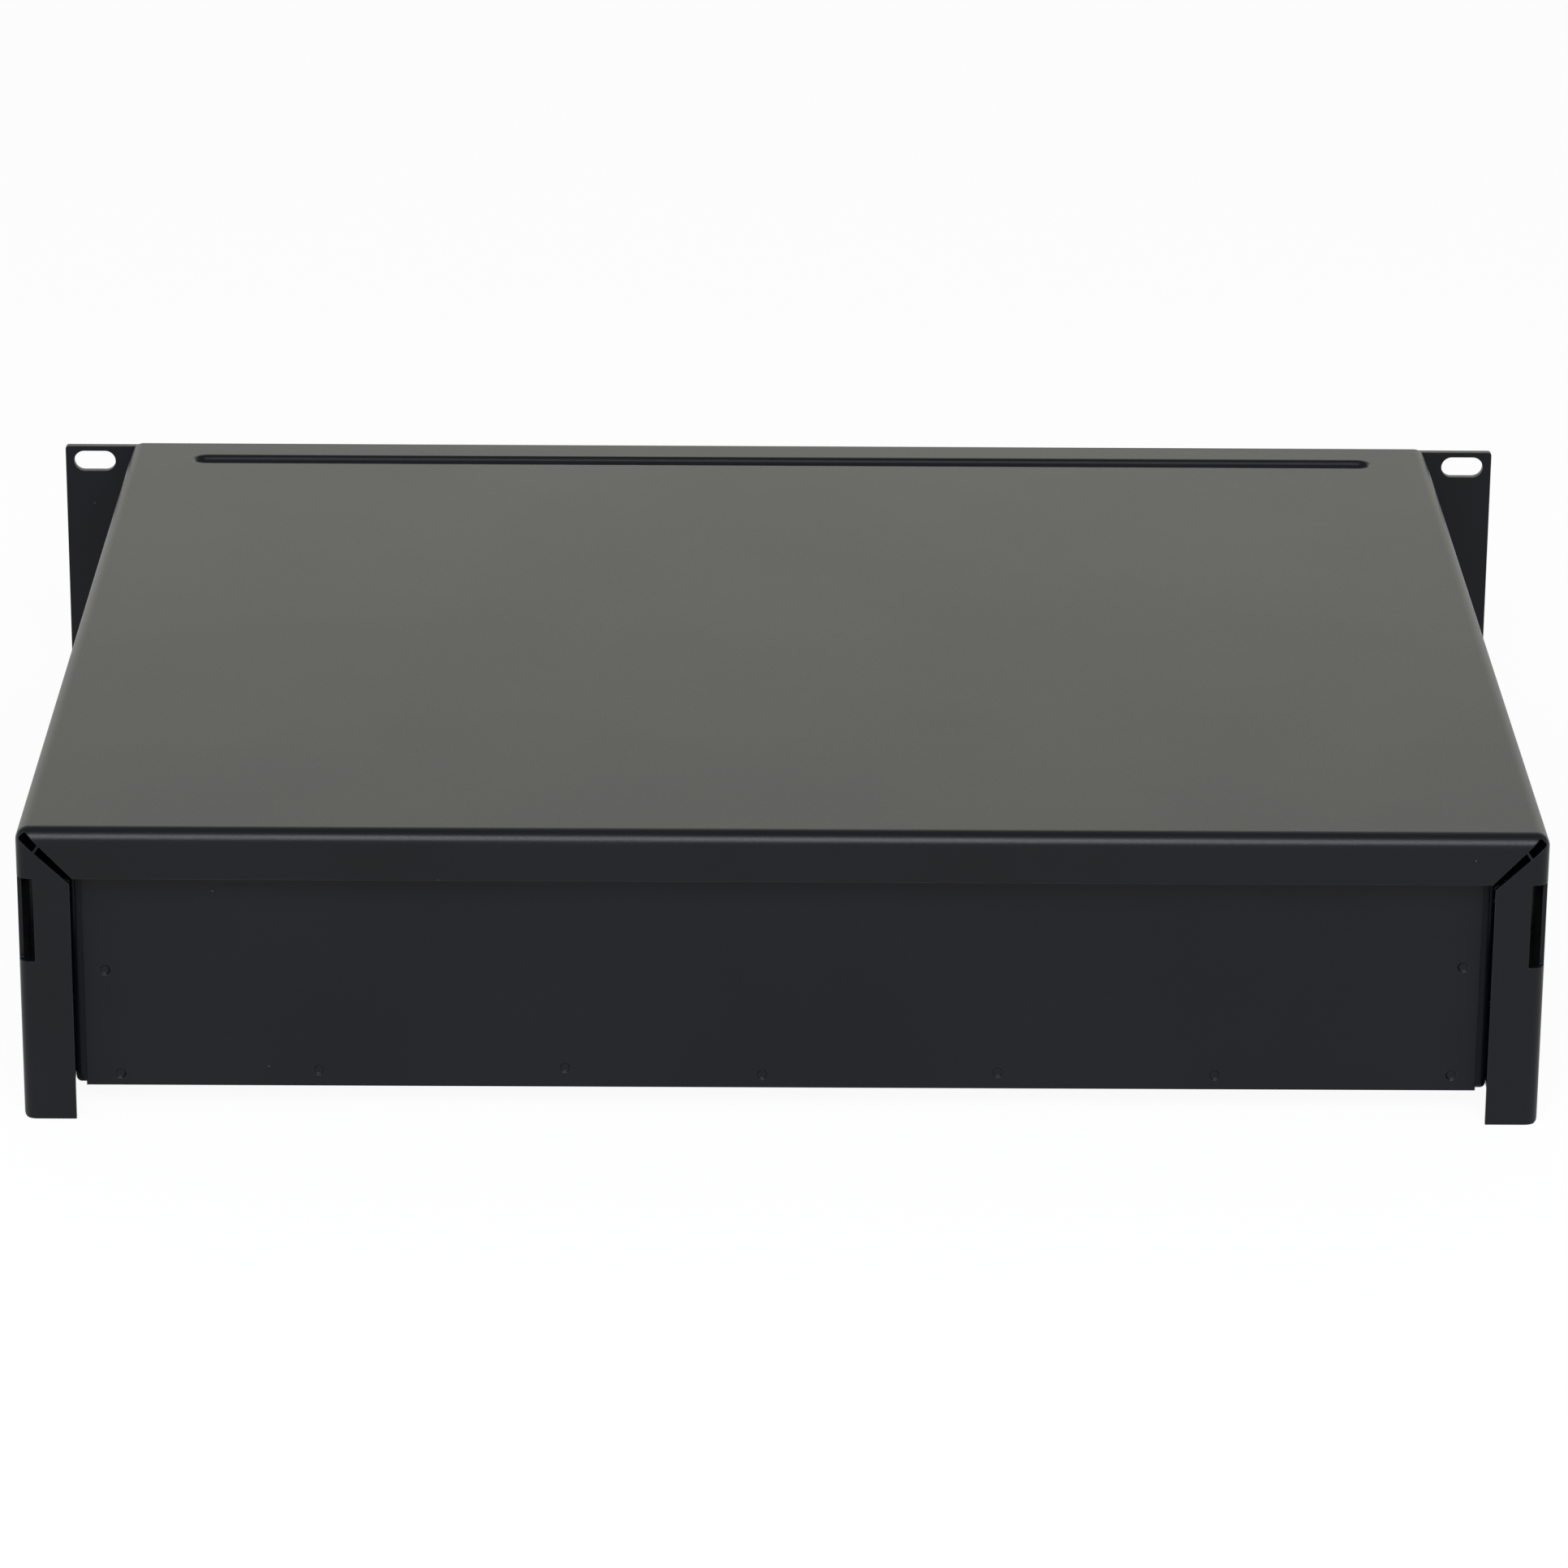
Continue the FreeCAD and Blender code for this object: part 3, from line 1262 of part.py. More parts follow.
def make_lock_plug():
    """Key cylinder: a cap in the housing's counterbore, the plug, and a square tang for the cam."""
    body = new_body("lock_plug")
    front = f"({FRONT_FACE} - lock_flange_height + plug_recess)"
    drawing = sketch(body, "XZ_Plane", front)
    circle(drawing, "0", LOCK_HEIGHT, "plug_cap / 2")
    add(body, drawing, "plug_cap_height")
    drawing = sketch(body, "XZ_Plane", front)
    circle(drawing, "0", LOCK_HEIGHT, "plug_size / 2")
    add(body, drawing, f"{CAM_FRONT} - {front}")
    drawing = sketch(body, "XZ_Plane", front)
    square(drawing, "tang_size / 2")
    add(body, drawing, f"{CAM_FRONT} + cam_gauge - cam_gap - {front}")
    drawing = sketch(body, "XZ_Plane", f"{front} - cut_margin")
    rectangle(
        drawing,
        "-keyway_width / 2",
        "keyway_width / 2",
        f"{LOCK_HEIGHT} - keyway_height / 2",
        f"{LOCK_HEIGHT} + keyway_height / 2",
    )
    cut(body, drawing, "keyway_depth + cut_margin")
    drawing = sketch(body, "XZ_Plane", f"{CAM_FRONT} + cam_gauge - cam_screw_length")
    circle(drawing, "0", LOCK_HEIGHT, "cam_screw_shank / 2 + running_clearance")
    cut(body, drawing, "cam_screw_length")
    return keep(body)


def square(drawing, half):
    rectangle(drawing, f"-({half})", half, f"{LOCK_HEIGHT} - ({half})", f"{LOCK_HEIGHT} + {half}")


def make_cam():
    """Cam plate on the plug's tang, lying to the left while the drawer is unlocked."""
    body = new_body("lock_cam")
    drawing = sketch(body, "XZ_Plane", CAM_FRONT)
    half = "cam_width / 2"
    tip = "cam_tip_width / 2"
    centre = ("0", LOCK_HEIGHT)
    outline(
        drawing,
        [
            ("-cam_length", f"{LOCK_HEIGHT} - {tip}"),
            ("0", f"{LOCK_HEIGHT} - {half}", *centre, half),
            (half, LOCK_HEIGHT, *centre, half),
            ("0", f"{LOCK_HEIGHT} + {half}"),
            ("-cam_length", f"{LOCK_HEIGHT} + {tip}"),
        ],
    )
    square(drawing, "tang_size / 2 + running_clearance")
    add(body, drawing, "cam_gauge")
    tips = [("-cam_length", f"{LOCK_HEIGHT} {sign} {tip}") for sign in "+-"]
    dress(body, "Fillet", edges(body.Tip.Shape, "y", tips), "cam_tip_corner")
    return keep(body)


def make_all():
    make_cover()
    make_strike()
    screw = make_screw("rail_screw_source", "rail_screw_length")
    for name, side in SIDES.items():
        make_ear(name, side)
        ear_places = ear_rivet_places()
        make_rivets(f"ear_rivets_{name}", side, "cover_gauge + ear_gauge", ear_places)
        rail_places = [(y, "0") for y in rail_rivet_places()]
        make_rivets(f"cabinet_rail_rivets_{name}", side, "cover_gauge + rail_gauge", rail_places)
        make_cabinet_rail(name, side)
        make_bumper(name, side)
        make_middle_rail(name, side)
        make_drawer_rail(name, side)
        for which in ("outer", "inner"):
            make_cage(name, side, which)
            make_balls(name, side, which)
        make_lever(name, side)
        make_lever_pin(name, side)
        seat = f"{side} * ({TRAY_HALF} - tray_gauge)"
        places = [(seat, y, z) for y, z in rail_screw_places()]
        turn = ((0, 0, 1), 0 if side > 0 else 180)
        group(f"drawer_rail_screws_{name}", screw, places, turn)
    make_tray()
    make_back()
    make_front()
    make_handle()
    towards_front = ((0, 0, 1), -90)
    screw = make_screw("fixing_screw_source", "fixing_length")
    places = [(x, TRAY_FRONT_INSIDE, z) for x, z in fixing_places()]
    group("front_fixing_screws", screw, places, towards_front)
    screw = make_screw("handle_screw_source", "handle_screw_length")
    places = [(x, TRAY_FRONT_INSIDE, z) for x, z in handle_places()]
    group("handle_screws", screw, places, towards_front)
    make_lock_housing()
    make_lock_nut()
    make_lock_plug()
    make_cam()
    screw = make_screw(
        "cam_screw_source",
        "cam_screw_length - cam_screw_gap",
        "cam_screw_shank",
        "cam_screw_head",
        "cam_screw_head_height",
    )
    seat = ("0", f"{CAM_FRONT} + cam_gauge", LOCK_HEIGHT)
    group("cam_screw", screw, [seat], towards_front)


def check_document():
    document.recompute()
    for item in document.Objects:
        if "Invalid" in item.State or "Error" in item.State:
            raise RuntimeError(f"{item.Label} failed: {item.State}")
    for item in subparts:
        if item.Shape.isNull() or not item.Shape.isValid() or item.Shape.Volume <= 0:
            raise RuntimeError(f"{item.Label} has no sound shape")


def write_parts():
    os.makedirs("parts", exist_ok=True)
    for item in subparts:
        item.Shape.exportStep(os.path.join("parts", f"{item.Label}.step"))


make_all()
check_document()
write_parts()
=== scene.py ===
"""Sliding rack drawer: surface finishes, floor, room light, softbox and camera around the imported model.

Every finish is built from shader nodes and measured in metres, so a grain has its real size on each piece.
"""

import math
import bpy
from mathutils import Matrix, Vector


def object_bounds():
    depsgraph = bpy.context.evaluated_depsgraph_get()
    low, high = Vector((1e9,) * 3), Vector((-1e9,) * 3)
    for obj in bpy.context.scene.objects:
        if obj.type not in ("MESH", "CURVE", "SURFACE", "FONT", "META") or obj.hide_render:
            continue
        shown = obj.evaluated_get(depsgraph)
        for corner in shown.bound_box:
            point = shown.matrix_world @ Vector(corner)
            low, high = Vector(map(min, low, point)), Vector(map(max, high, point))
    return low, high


bl_info = {
    "name": "Sliding rack drawer",
    "version": (1, 0, 0),
    "blender": (4, 5, 0),
    "location": "3D View > Sidebar > Rack drawer",
    "description": "Finishes a two-unit sliding rack drawer and sets up its studio",
    "category": "Object",
}

import bpy
from bpy.props import FloatProperty, FloatVectorProperty, PointerProperty
from mathutils import Euler, Vector

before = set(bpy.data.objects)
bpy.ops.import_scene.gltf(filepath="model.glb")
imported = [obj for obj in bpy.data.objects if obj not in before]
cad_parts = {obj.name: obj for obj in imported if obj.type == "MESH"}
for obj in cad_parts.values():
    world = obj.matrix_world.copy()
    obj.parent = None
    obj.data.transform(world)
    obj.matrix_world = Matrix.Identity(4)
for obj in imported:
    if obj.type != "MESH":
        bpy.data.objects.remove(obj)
CAD_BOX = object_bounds()
FLOOR_HEIGHT = CAD_BOX[0].z
MM = 0.001
WHITE = (1.0, 1.0, 1.0)

# A Mix node's inputs go by number, because those for numbers, vectors and colours have the same names.
FACTOR, FIRST, SECOND = 0, 6, 7
COLOURS = {"data_type": "RGBA"}
SMOOTH = {"interpolation_type": "SMOOTHSTEP"}

# Noise of one to four octaves, each octave a little over half as strong as the one before it.
SOFT, PLAIN, FINE, RICH = ({"Detail": octaves, "Roughness": 0.55} for octaves in (1.0, 2.0, 3.0, 4.0))
# Noise runs from 0 to 1. Nearly all of it lies in GRAIN, and PATCHES gives broad flats with short slopes.
GRAIN = (0.3, 0.7)
PATCHES = (0.35, 0.65)
# Cosine of the angle between the rounded and the true surface: on a sharp edge, and where the flat begins.
EDGE_TURN = (0.80, 0.985)

# Below, a SPAN is the part of the noise that a pattern runs over, a TONE is what it multiplies the colour
# by, and a SHEEN is how far it moves the roughness.

# Powder coat: patches changed by handling, stretches of rubbed edge with a painted highlight, waves, grit
# and specks of dust.
HANDLED_PATCH = 70 * MM
HANDLED_TONE = 1.25
HANDLED_SHEEN = 0.006
RUBBED_HIGHLIGHT_STRETCH = 16 * MM
LEAST_RUBBED_HIGHLIGHT = 0.35
RUBBED_SHEEN = -0.05
FLOW_DEPTH = 0.006 * MM
GRIT_DEPTH = 0.024 * MM
GRIT_SHEEN = 0.02
DUST_PITCH = 12 * MM
# Radii of a speck and of its soft rim, as shares of the pitch.
DUST_SPECK = (0.012, 0.020)
# Polyester has about 1.5. The lower value is matched to the weak sheen of the upright faces.
COAT_IOR = 1.29
# Hands keep the handle a little smoother than the sheet.
HANDLE_SHEEN = -0.06

# Radius of the edges of plated and of electrocoated steel.
STEEL_EDGE = 0.15 * MM

# Zinc plate: rolling lines, the plating bath's speckle, and patches of straw tint and of slide oil.
ROLLED_DEPTH = 0.003 * MM
ROLLED_SHEEN = 0.07
# The real speckle is well under 0.1 mm and would not show, so it is drawn coarser.
SPECKLE_PITCH = 0.9 * MM
SPECKLE_DEPTH = 0.004 * MM
SPECKLE_SHEEN = (-0.05, 0.08)
STRAW_PATCH = 22 * MM
STRAW_SPAN = (0.4, 0.75)
STRAW_MOST = 0.8
OIL_PATCH = 9 * MM
OIL_SPAN = (0.42, 0.75)

# Electrocoat: the mill's lines run along the rail, so they are drawn out to fifty times their width.
DRAWN_OUT = (1.0, 0.02, 1.0)
DRAWN_DEPTH = 0.004 * MM
DRAWN_SHEEN = 0.04
DRAWN_MOST = 0.5
THIN_COAT_TONE = 1.9
FILM_PATCH = 11 * MM
FILM_SPAN = (0.4, 0.7)
FILM_SHEEN = (0.05, -0.08)
ELECTROCOAT_IOR = 1.52

# Polished metal: fine scratches that lie at a slant, and a cloudy haze.
POLISHED_EDGE = 0.12 * MM
# The real scratches are well under 0.1 mm apart and would not show, so they are drawn coarser.
SCRATCH_PITCH = 0.25 * MM
SCRATCH_DEPTH = 0.0008 * MM
SCRATCH_SLANT = (0.6, 0.2, 0.9)
SCRATCH_STRETCH = (1.0, 0.08, 0.5)
SCRATCH_SPAN = (0.5, 0.8)
CLOUD_PITCH = 2.4 * MM
CLOUD_SPAN = (0.4, 0.7)
CLOUD_TONE = 0.86
HAZE_SPAN = (0.4, 0.75)

# Mouldings: edges softened by the mould, and faces that sank a little as they cooled.
MOULDED_EDGE = 0.2 * MM
SINK_PITCH = 6 * MM
SINK_DEPTH = 0.03 * MM
SINK_TONE = 1.25
SKIN_SHEEN = 0.06

# Stage: the card's half width and the pitch of its faint mottle, in metres.
CARD_REACH = 12.0
MOTTLE_PITCH = 0.35
MOTTLE_TONE = 1.02
# The height, in a direction of length one, over which the room's white walls end, and the Y over which the
# white paper does.
WALL_TOP = (0.12, 0.22)
BACKDROP_EDGE = (-0.86, -0.66)
# The camera's sensor in millimetres, and the nearest and farthest that it sees in metres.
SENSOR_WIDTH = 36.0
NEAREST, FARTHEST = 0.05, 50.0


def linear(code):
    """An sRGB hex colour as linear red, green and blue."""
    parts = [int(code[place : place + 2], 16) / 255 for place in (1, 3, 5)]
    return tuple(p / 12.92 if p <= 0.04045 else ((p + 0.055) / 1.055) ** 2.4 for p in parts)


def colour(name, code, description):
    """A colour setting, given as sRGB hex."""
    return FloatVectorProperty(
        name=name,
        description=description,
        subtype="COLOR",
        size=3,
        min=0.0,
        max=1.0,
        default=linear(code),
    )


def length(name, value, description):
    """A size setting in metres."""
    return FloatProperty(
        name=name,
        description=description,
        subtype="DISTANCE",
        unit="LENGTH",
        precision=5,
        default=value,
    )


def share(name, value, description):
    """A setting from 0 to 1."""
    return FloatProperty(
        name=name, description=description, subtype="FACTOR", min=0.0, max=1.0, default=value
    )


class CoatSettings(bpy.types.PropertyGroup):
    """Black powder coat on the folded sheet, the ears, the front and the handle."""

    cover: colour("Cover", "#08090d", "Coat on the folded cover")
    ears: colour("Rack ears", "#07080d", "Coat on the rack ears")
    drawer: colour("Drawer", "#090a10", "Coat on the tray and its back")
    front: colour("Front", "#09090e", "Coat on the front plate and the handle")
    # The thin edge colour is partly a thinned coat and partly a painted highlight, set paler than the coat
    # alone would show.
    thin_coat_and_highlight: colour("Thin edge", "#313338", "Coat where it thins out over a sharp edge")
    dust: colour("Dust", "#4a4a48", "Specks of dust, a few to a hand's breadth")
    gloss: share("Roughness", 0.35, "Roughness of the coat")
    grit: length("Grit", 0.45 * MM, "Spacing of the coat's fine texture")
    peel: length("Flow", 2.6 * MM, "Spacing of the waves left where the powder flowed")
    edge: length("Edge roll", 0.35 * MM, "Radius to which the coat rounds a cut edge")


class MetalSettings(bpy.types.PropertyGroup):
    """Plated and polished metals of the slides, the fastenings and the lock."""

    zinc: colour("Zinc plate", "#b9bcc1", "Bright zinc plate on rolled steel")
    passivation: colour("Passivation", "#c4c0b0", "Pale straw tint that comes and goes over the zinc")
    electrocoat: colour("Rail coat", "#101112", "Black electrocoat on the slides' rails")
    oil: colour("Oil film", "#7f7c72", "Slide oil that dulls the plate in places")
    steel: colour("Bearing steel", "#c9c9ca", "Ground and polished bearing steel")
    chrome: colour("Chrome plate", "#b6b8bb", "Bright chrome plate on the lock")
    lacquer: colour("Rivet lacquer", "#101113", "Black lacquer on the rivets")
    rolling: length("Rolling lines", 0.35 * MM, "Spacing of the lines left by the rolling mill")


class MouldingSettings(bpy.types.PropertyGroup):
    """Plastic and rubber pieces of the slides."""

    cage: colour("Ball cage", "#c2c1b9", "Natural acetal of the ball cages")
    lever: colour("Release lever", "#131315", "Black polyamide of the release levers")
    bumper: colour("Bumper", "#151514", "Black rubber of the rail stops")


class StageSettings(bpy.types.PropertyGroup):
    """Card, room, softbox and camera."""

    card: colour("Card", "#e9e9e8", "Pale card under the drawer")
    shadow: share("Shadow", 0.06, "How much of the drawer's shadow shows on the white card")
    backdrop: colour("Backdrop", "#fffef5", "White paper hung low in front of the drawer's face")
    backdrop_light: FloatProperty(
        name="Backdrop light", description="Brightness of the white paper", min=0.0, default=1.3
    )
    ceiling: colour("Ceiling", "#b4b6b8", "Walls and ceiling of the room")
    lamp: colour("Lamp", "#f6faff", "Colour of the softbox")
    lamp_radiance: FloatProperty(
        name="Lamp radiance", description="Brightness of the softbox's face", min=0.0, default=11.0
    )
    lamp_width: length("Lamp width", 1.5, "Length of the softbox along the drawer's width")
    lamp_depth: length("Lamp depth", 0.8, "Height of the softbox")
    lamp_place: FloatVectorProperty(
        name="Lamp place",
        description="Middle of the softbox",
        subtype="TRANSLATION",
        default=(0.0, 1.74, 1.20),
    )
    camera_place: FloatVectorProperty(
        name="Camera place",
        description="Where the camera stands",
        subtype="TRANSLATION",
        precision=5,
        default=(0.01068, 2.11920, 0.69353),
    )
    camera_turn: FloatVectorProperty(
        name="Camera turn",
        description="The camera's turn about X, Y and Z",
        subtype="EULER",
        precision=5,
        default=tuple(math.radians(angle) for angle in (70.01482, -0.36077, 179.77597)),
    )
    lens: FloatProperty(
        name="Lens",
        description="Focal length on a 36 mm wide sensor",
        subtype="DISTANCE_CAMERA",
        default=150.2,
    )


def node(tree, kind, inputs=(), **settings):
    """Adds a node, sets its properties, and sets or links its inputs.

    Inputs go by name or number, or are listed in the node's own order. A node given as an input links its
    first output in use. Colours have three numbers and are opaque.
    """
    made = tree.nodes.new(kind)
    for name, value in settings.items():
        setattr(made, name, value)
    for key, value in inputs.items() if isinstance(inputs, dict) else enumerate(inputs):
        socket = made.inputs[key]
        if isinstance(value, bpy.types.Node):
            value = next(output for output in value.outputs if output.enabled)
        if isinstance(value, bpy.types.NodeSocket):
            tree.links.new(value, socket)
        elif socket.type == "RGBA":
            socket.default_value = (*value, 1.0)
        else:
            socket.default_value = value
    return made


def new_tree(name):
    """The empty node tree of a new material."""
    material = bpy.data.materials.new(name)
    material.use_nodes = True
    material.node_tree.nodes.clear()
    return material.node_tree


def edges(tree, rounded):
    """Where a sharp edge is near: 0 on flats, up to 1 on the edge."""
    true_normal = node(tree, "ShaderNodeNewGeometry").outputs["Normal"]
    turn = node(tree, "ShaderNodeVectorMath", [rounded, true_normal], operation="DOT_PRODUCT")
    return node(tree, "ShaderNodeMapRange", [turn, *EDGE_TURN, 1.0, 0.0], **SMOOTH)


def powder_coat(name, tone, settings, roughness=None):
    """Polyester powder coat, sprayed on folded steel and baked.

    It gives the eye a semi-matt black with a fine grit, slow waves where the powder flowed, sheen that
    drifts with handling, and soft edges where the coat rolls over the cut sheet and thins out, with a
    painted highlight.
    """
    roughness = settings.gloss if roughness is None else roughness
    tree = new_tree(name)
    where = node(tree, "ShaderNodeTexCoord").outputs["Object"]
    rounded = node(tree, "ShaderNodeBevel", {"Radius": settings.edge}, samples=6)
    # The real grit is near 0.1 mm and would not show, so it is drawn at the coarser grit setting.
    grit = node(tree, "ShaderNodeTexNoise", {"Vector": where, "Scale": 1 / settings.grit, **PLAIN})
    flow = node(tree, "ShaderNodeTexNoise", {"Vector": where, "Scale": 1 / settings.peel, **SOFT})
    handling = node(tree, "ShaderNodeTexNoise", {"Vector": where, "Scale": 1 / HANDLED_PATCH, **RICH})
    rub_and_highlight_noise = node(tree, "ShaderNodeTexNoise", {"Vector": where, "Scale": 1 / RUBBED_HIGHLIGHT_STRETCH, **FINE})
    normal = node(tree, "ShaderNodeBump", {"Distance": FLOW_DEPTH, "Height": flow, "Normal": rounded})
    normal = node(tree, "ShaderNodeBump", {"Distance": GRIT_DEPTH, "Height": grit, "Normal": normal})
    rub_and_highlight = node(tree, "ShaderNodeMapRange", [rub_and_highlight_noise, *GRAIN, LEAST_RUBBED_HIGHLIGHT, 1.0], **SMOOTH)
    # Sharp edges in rubbed stretches: a thinned coat, and a painted highlight along the edge.
    worn_and_highlight = node(tree, "ShaderNodeMath", [edges(tree, rounded), rub_and_highlight], operation="MULTIPLY")
    handled = tuple(value * HANDLED_TONE for value in tone)
    patch = node(tree, "ShaderNodeMapRange", [handling, *PATCHES, 0.0, 1.0], **SMOOTH)
    base = node(tree, "ShaderNodeMix", {FACTOR: patch, FIRST: tone, SECOND: handled}, **COLOURS)
    # Paints the sharp edges paler, partly as the thin coat and partly as a painted highlight.
    base = node(tree, "ShaderNodeMix", {FACTOR: worn_and_highlight, FIRST: base, SECOND: settings.thin_coat_and_highlight}, **COLOURS)
    speck = node(tree, "ShaderNodeTexVoronoi", {"Vector": where, "Scale": 1 / DUST_PITCH})
    speck = node(tree, "ShaderNodeMapRange", [speck, *DUST_SPECK, 1.0, 0.0], **SMOOTH)
    base = node(tree, "ShaderNodeMix", {FACTOR: speck, FIRST: base, SECOND: settings.dust}, **COLOURS)
    low, high = roughness - HANDLED_SHEEN, roughness + HANDLED_SHEEN
    sheen = node(tree, "ShaderNodeMapRange", [handling, *PATCHES, low, high], **SMOOTH)
    dulling = node(tree, "ShaderNodeMapRange", [grit, *GRAIN, -GRIT_SHEEN, GRIT_SHEEN], **SMOOTH)
    sheen = node(tree, "ShaderNodeMath", [sheen, dulling], operation="ADD")
    polish = node(tree, "ShaderNodeMapRange", [worn_and_highlight, 0.0, 1.0, 0.0, RUBBED_SHEEN], **SMOOTH)
    sheen = node(tree, "ShaderNodeMath", [sheen, polish], operation="ADD")
    shader = node(
        tree,
        "ShaderNodeBsdfPrincipled",
        {"Base Color": base, "Roughness": sheen, "IOR": COAT_IOR, "Normal": normal},
    )
    node(tree, "ShaderNodeOutputMaterial", {"Surface": shader})


def zinc_plate(name, tone, settings, roughness, oily):
    """Bright electroplated zinc on pressed or headed steel.

    It gives the eye a pale bluish metal with a straw tint in places, a fine speckle from the bath and
    a little oil that dulls it.
    """
    tree = new_tree(name)
    where = node(tree, "ShaderNodeTexCoord").outputs["Object"]
    rounded = node(tree, "ShaderNodeBevel", {"Radius": STEEL_EDGE}, samples=4)
    # Real rolling lines are near 0.1 mm apart and would not show, so they are drawn at the rolling setting.
    line = node(tree, "ShaderNodeTexNoise", {"Vector": where, "Scale": 1 / settings.rolling, **FINE})
    speckle = node(tree, "ShaderNodeTexNoise", {"Vector": where, "Scale": 1 / SPECKLE_PITCH, **FINE})
    straw = node(tree, "ShaderNodeTexNoise", {"Vector": where, "Scale": 1 / STRAW_PATCH, **FINE})
    oil = node(tree, "ShaderNodeTexNoise", {"Vector": where, "Scale": 1 / OIL_PATCH, **RICH})
    normal = node(tree, "ShaderNodeBump", {"Distance": ROLLED_DEPTH, "Height": line, "Normal": rounded})
    normal = node(tree, "ShaderNodeBump", {"Distance": SPECKLE_DEPTH, "Height": speckle, "Normal": normal})
    straw = node(tree, "ShaderNodeMapRange", [straw, *STRAW_SPAN, 0.0, STRAW_MOST], **SMOOTH)
    base = node(
        tree, "ShaderNodeMix", {FACTOR: straw, FIRST: tone, SECOND: settings.passivation}, **COLOURS
    )
    oil = node(tree, "ShaderNodeMapRange", [oil, *OIL_SPAN, 0.0, oily], **SMOOTH)
    base = node(tree, "ShaderNodeMix", {FACTOR: oil, FIRST: base, SECOND: settings.oil}, **COLOURS)
    low, high = roughness - ROLLED_SHEEN, roughness + ROLLED_SHEEN
    sheen = node(tree, "ShaderNodeMapRange", [line, *GRAIN, low, high], **SMOOTH)
    dulling = node(tree, "ShaderNodeMapRange", [speckle, *GRAIN, *SPECKLE_SHEEN], **SMOOTH)
    sheen = node(tree, "ShaderNodeMath", [sheen, dulling], operation="ADD")
    shader = node(
        tree,
        "ShaderNodeBsdfPrincipled",
        {"Base Color": base, "Metallic": 1.0, "Roughness": sheen, "Normal": normal},
    )
    node(tree, "ShaderNodeOutputMaterial", {"Surface": shader})


def electrocoat(name, tone, settings, roughness):
    """Black electrocoat on rolled steel.

    It gives the eye a thin smooth black, glossier than powder coat, through which the mill's lines
    show along a rail, with slide oil that comes and goes over it.
    """
    tree = new_tree(name)
    where = node(tree, "ShaderNodeTexCoord").outputs["Object"]
    rounded = node(tree, "ShaderNodeBevel", {"Radius": STEEL_EDGE}, samples=4)
    drawn = node(tree, "ShaderNodeMapping", {"Vector": where, "Scale": DRAWN_OUT})
    # Real mill lines are near 0.1 mm apart and would not show, so they are drawn at the rolling setting.
    line = node(tree, "ShaderNodeTexNoise", {"Vector": drawn, "Scale": 1 / settings.rolling, **FINE})
    film = node(tree, "ShaderNodeTexNoise", {"Vector": where, "Scale": 1 / FILM_PATCH, **RICH})
    normal = node(tree, "ShaderNodeBump", {"Distance": DRAWN_DEPTH, "Height": line, "Normal": rounded})
    pale = tuple(value * THIN_COAT_TONE for value in tone)
    lined = node(tree, "ShaderNodeMapRange", [line, *GRAIN, 0.0, DRAWN_MOST], **SMOOTH)
    base = node(tree, "ShaderNodeMix", {FACTOR: lined, FIRST: tone, SECOND: pale}, **COLOURS)
    base = node(tree, "ShaderNodeMix", {FACTOR: edges(tree, rounded), FIRST: base, SECOND: pale}, **COLOURS)
    low, high = (roughness + change for change in FILM_SHEEN)
    sheen = node(tree, "ShaderNodeMapRange", [film, *FILM_SPAN, low, high], **SMOOTH)
    dulling = node(tree, "ShaderNodeMapRange", [line, *GRAIN, -DRAWN_SHEEN, DRAWN_SHEEN], **SMOOTH)
    sheen = node(tree, "ShaderNodeMath", [sheen, dulling], operation="ADD")
    shader = node(
        tree,
        "ShaderNodeBsdfPrincipled",
        {"Base Color": base, "Roughness": sheen, "IOR": ELECTROCOAT_IOR, "Normal": normal},
    )
    node(tree, "ShaderNodeOutputMaterial", {"Surface": shader})


def polished_metal(name, tone, roughness, haze):
    """Ground bearing steel, or chrome plated on a die casting.

    It gives the eye a bright mirror with fine scratches and a little haze.
    """
    tree = new_tree(name)
    where = node(tree, "ShaderNodeTexCoord").outputs["Object"]
    rounded = node(tree, "ShaderNodeBevel", {"Radius": POLISHED_EDGE}, samples=4)
    slanted = node(
        tree,
        "ShaderNodeMapping",
        {"Vector": where, "Rotation": SCRATCH_SLANT, "Scale": SCRATCH_STRETCH},
    )
    scratch = node(tree, "ShaderNodeTexNoise", {"Vector": slanted, "Scale": 1 / SCRATCH_PITCH, **RICH})
    cloud = node(tree, "ShaderNodeTexNoise", {"Vector": where, "Scale": 1 / CLOUD_PITCH, **FINE})
    normal = node(tree, "ShaderNodeBump", {"Distance": SCRATCH_DEPTH, "Height": scratch, "Normal": rounded})
    dulled = tuple(value * CLOUD_TONE for value in tone)
    clouded = node(tree, "ShaderNodeMapRange", [cloud, *CLOUD_SPAN, 0.0, 1.0], **SMOOTH)
    base = node(tree, "ShaderNodeMix", {FACTOR: clouded, FIRST: tone, SECOND: dulled}, **COLOURS)
    low, high = roughness, roughness + haze
    sheen = node(tree, "ShaderNodeMapRange", [cloud, *HAZE_SPAN, low, high], **SMOOTH)
    dulling = node(tree, "ShaderNodeMapRange", [scratch, *SCRATCH_SPAN, 0.0, haze], **SMOOTH)
    sheen = node(tree, "ShaderNodeMath", [sheen, dulling], operation="ADD")
    shader = node(
        tree,
        "ShaderNodeBsdfPrincipled",
        {"Base Color": base, "Metallic": 1.0, "Roughness": sheen, "Normal": normal},
    )
    node(tree, "ShaderNodeOutputMaterial", {"Surface": shader})


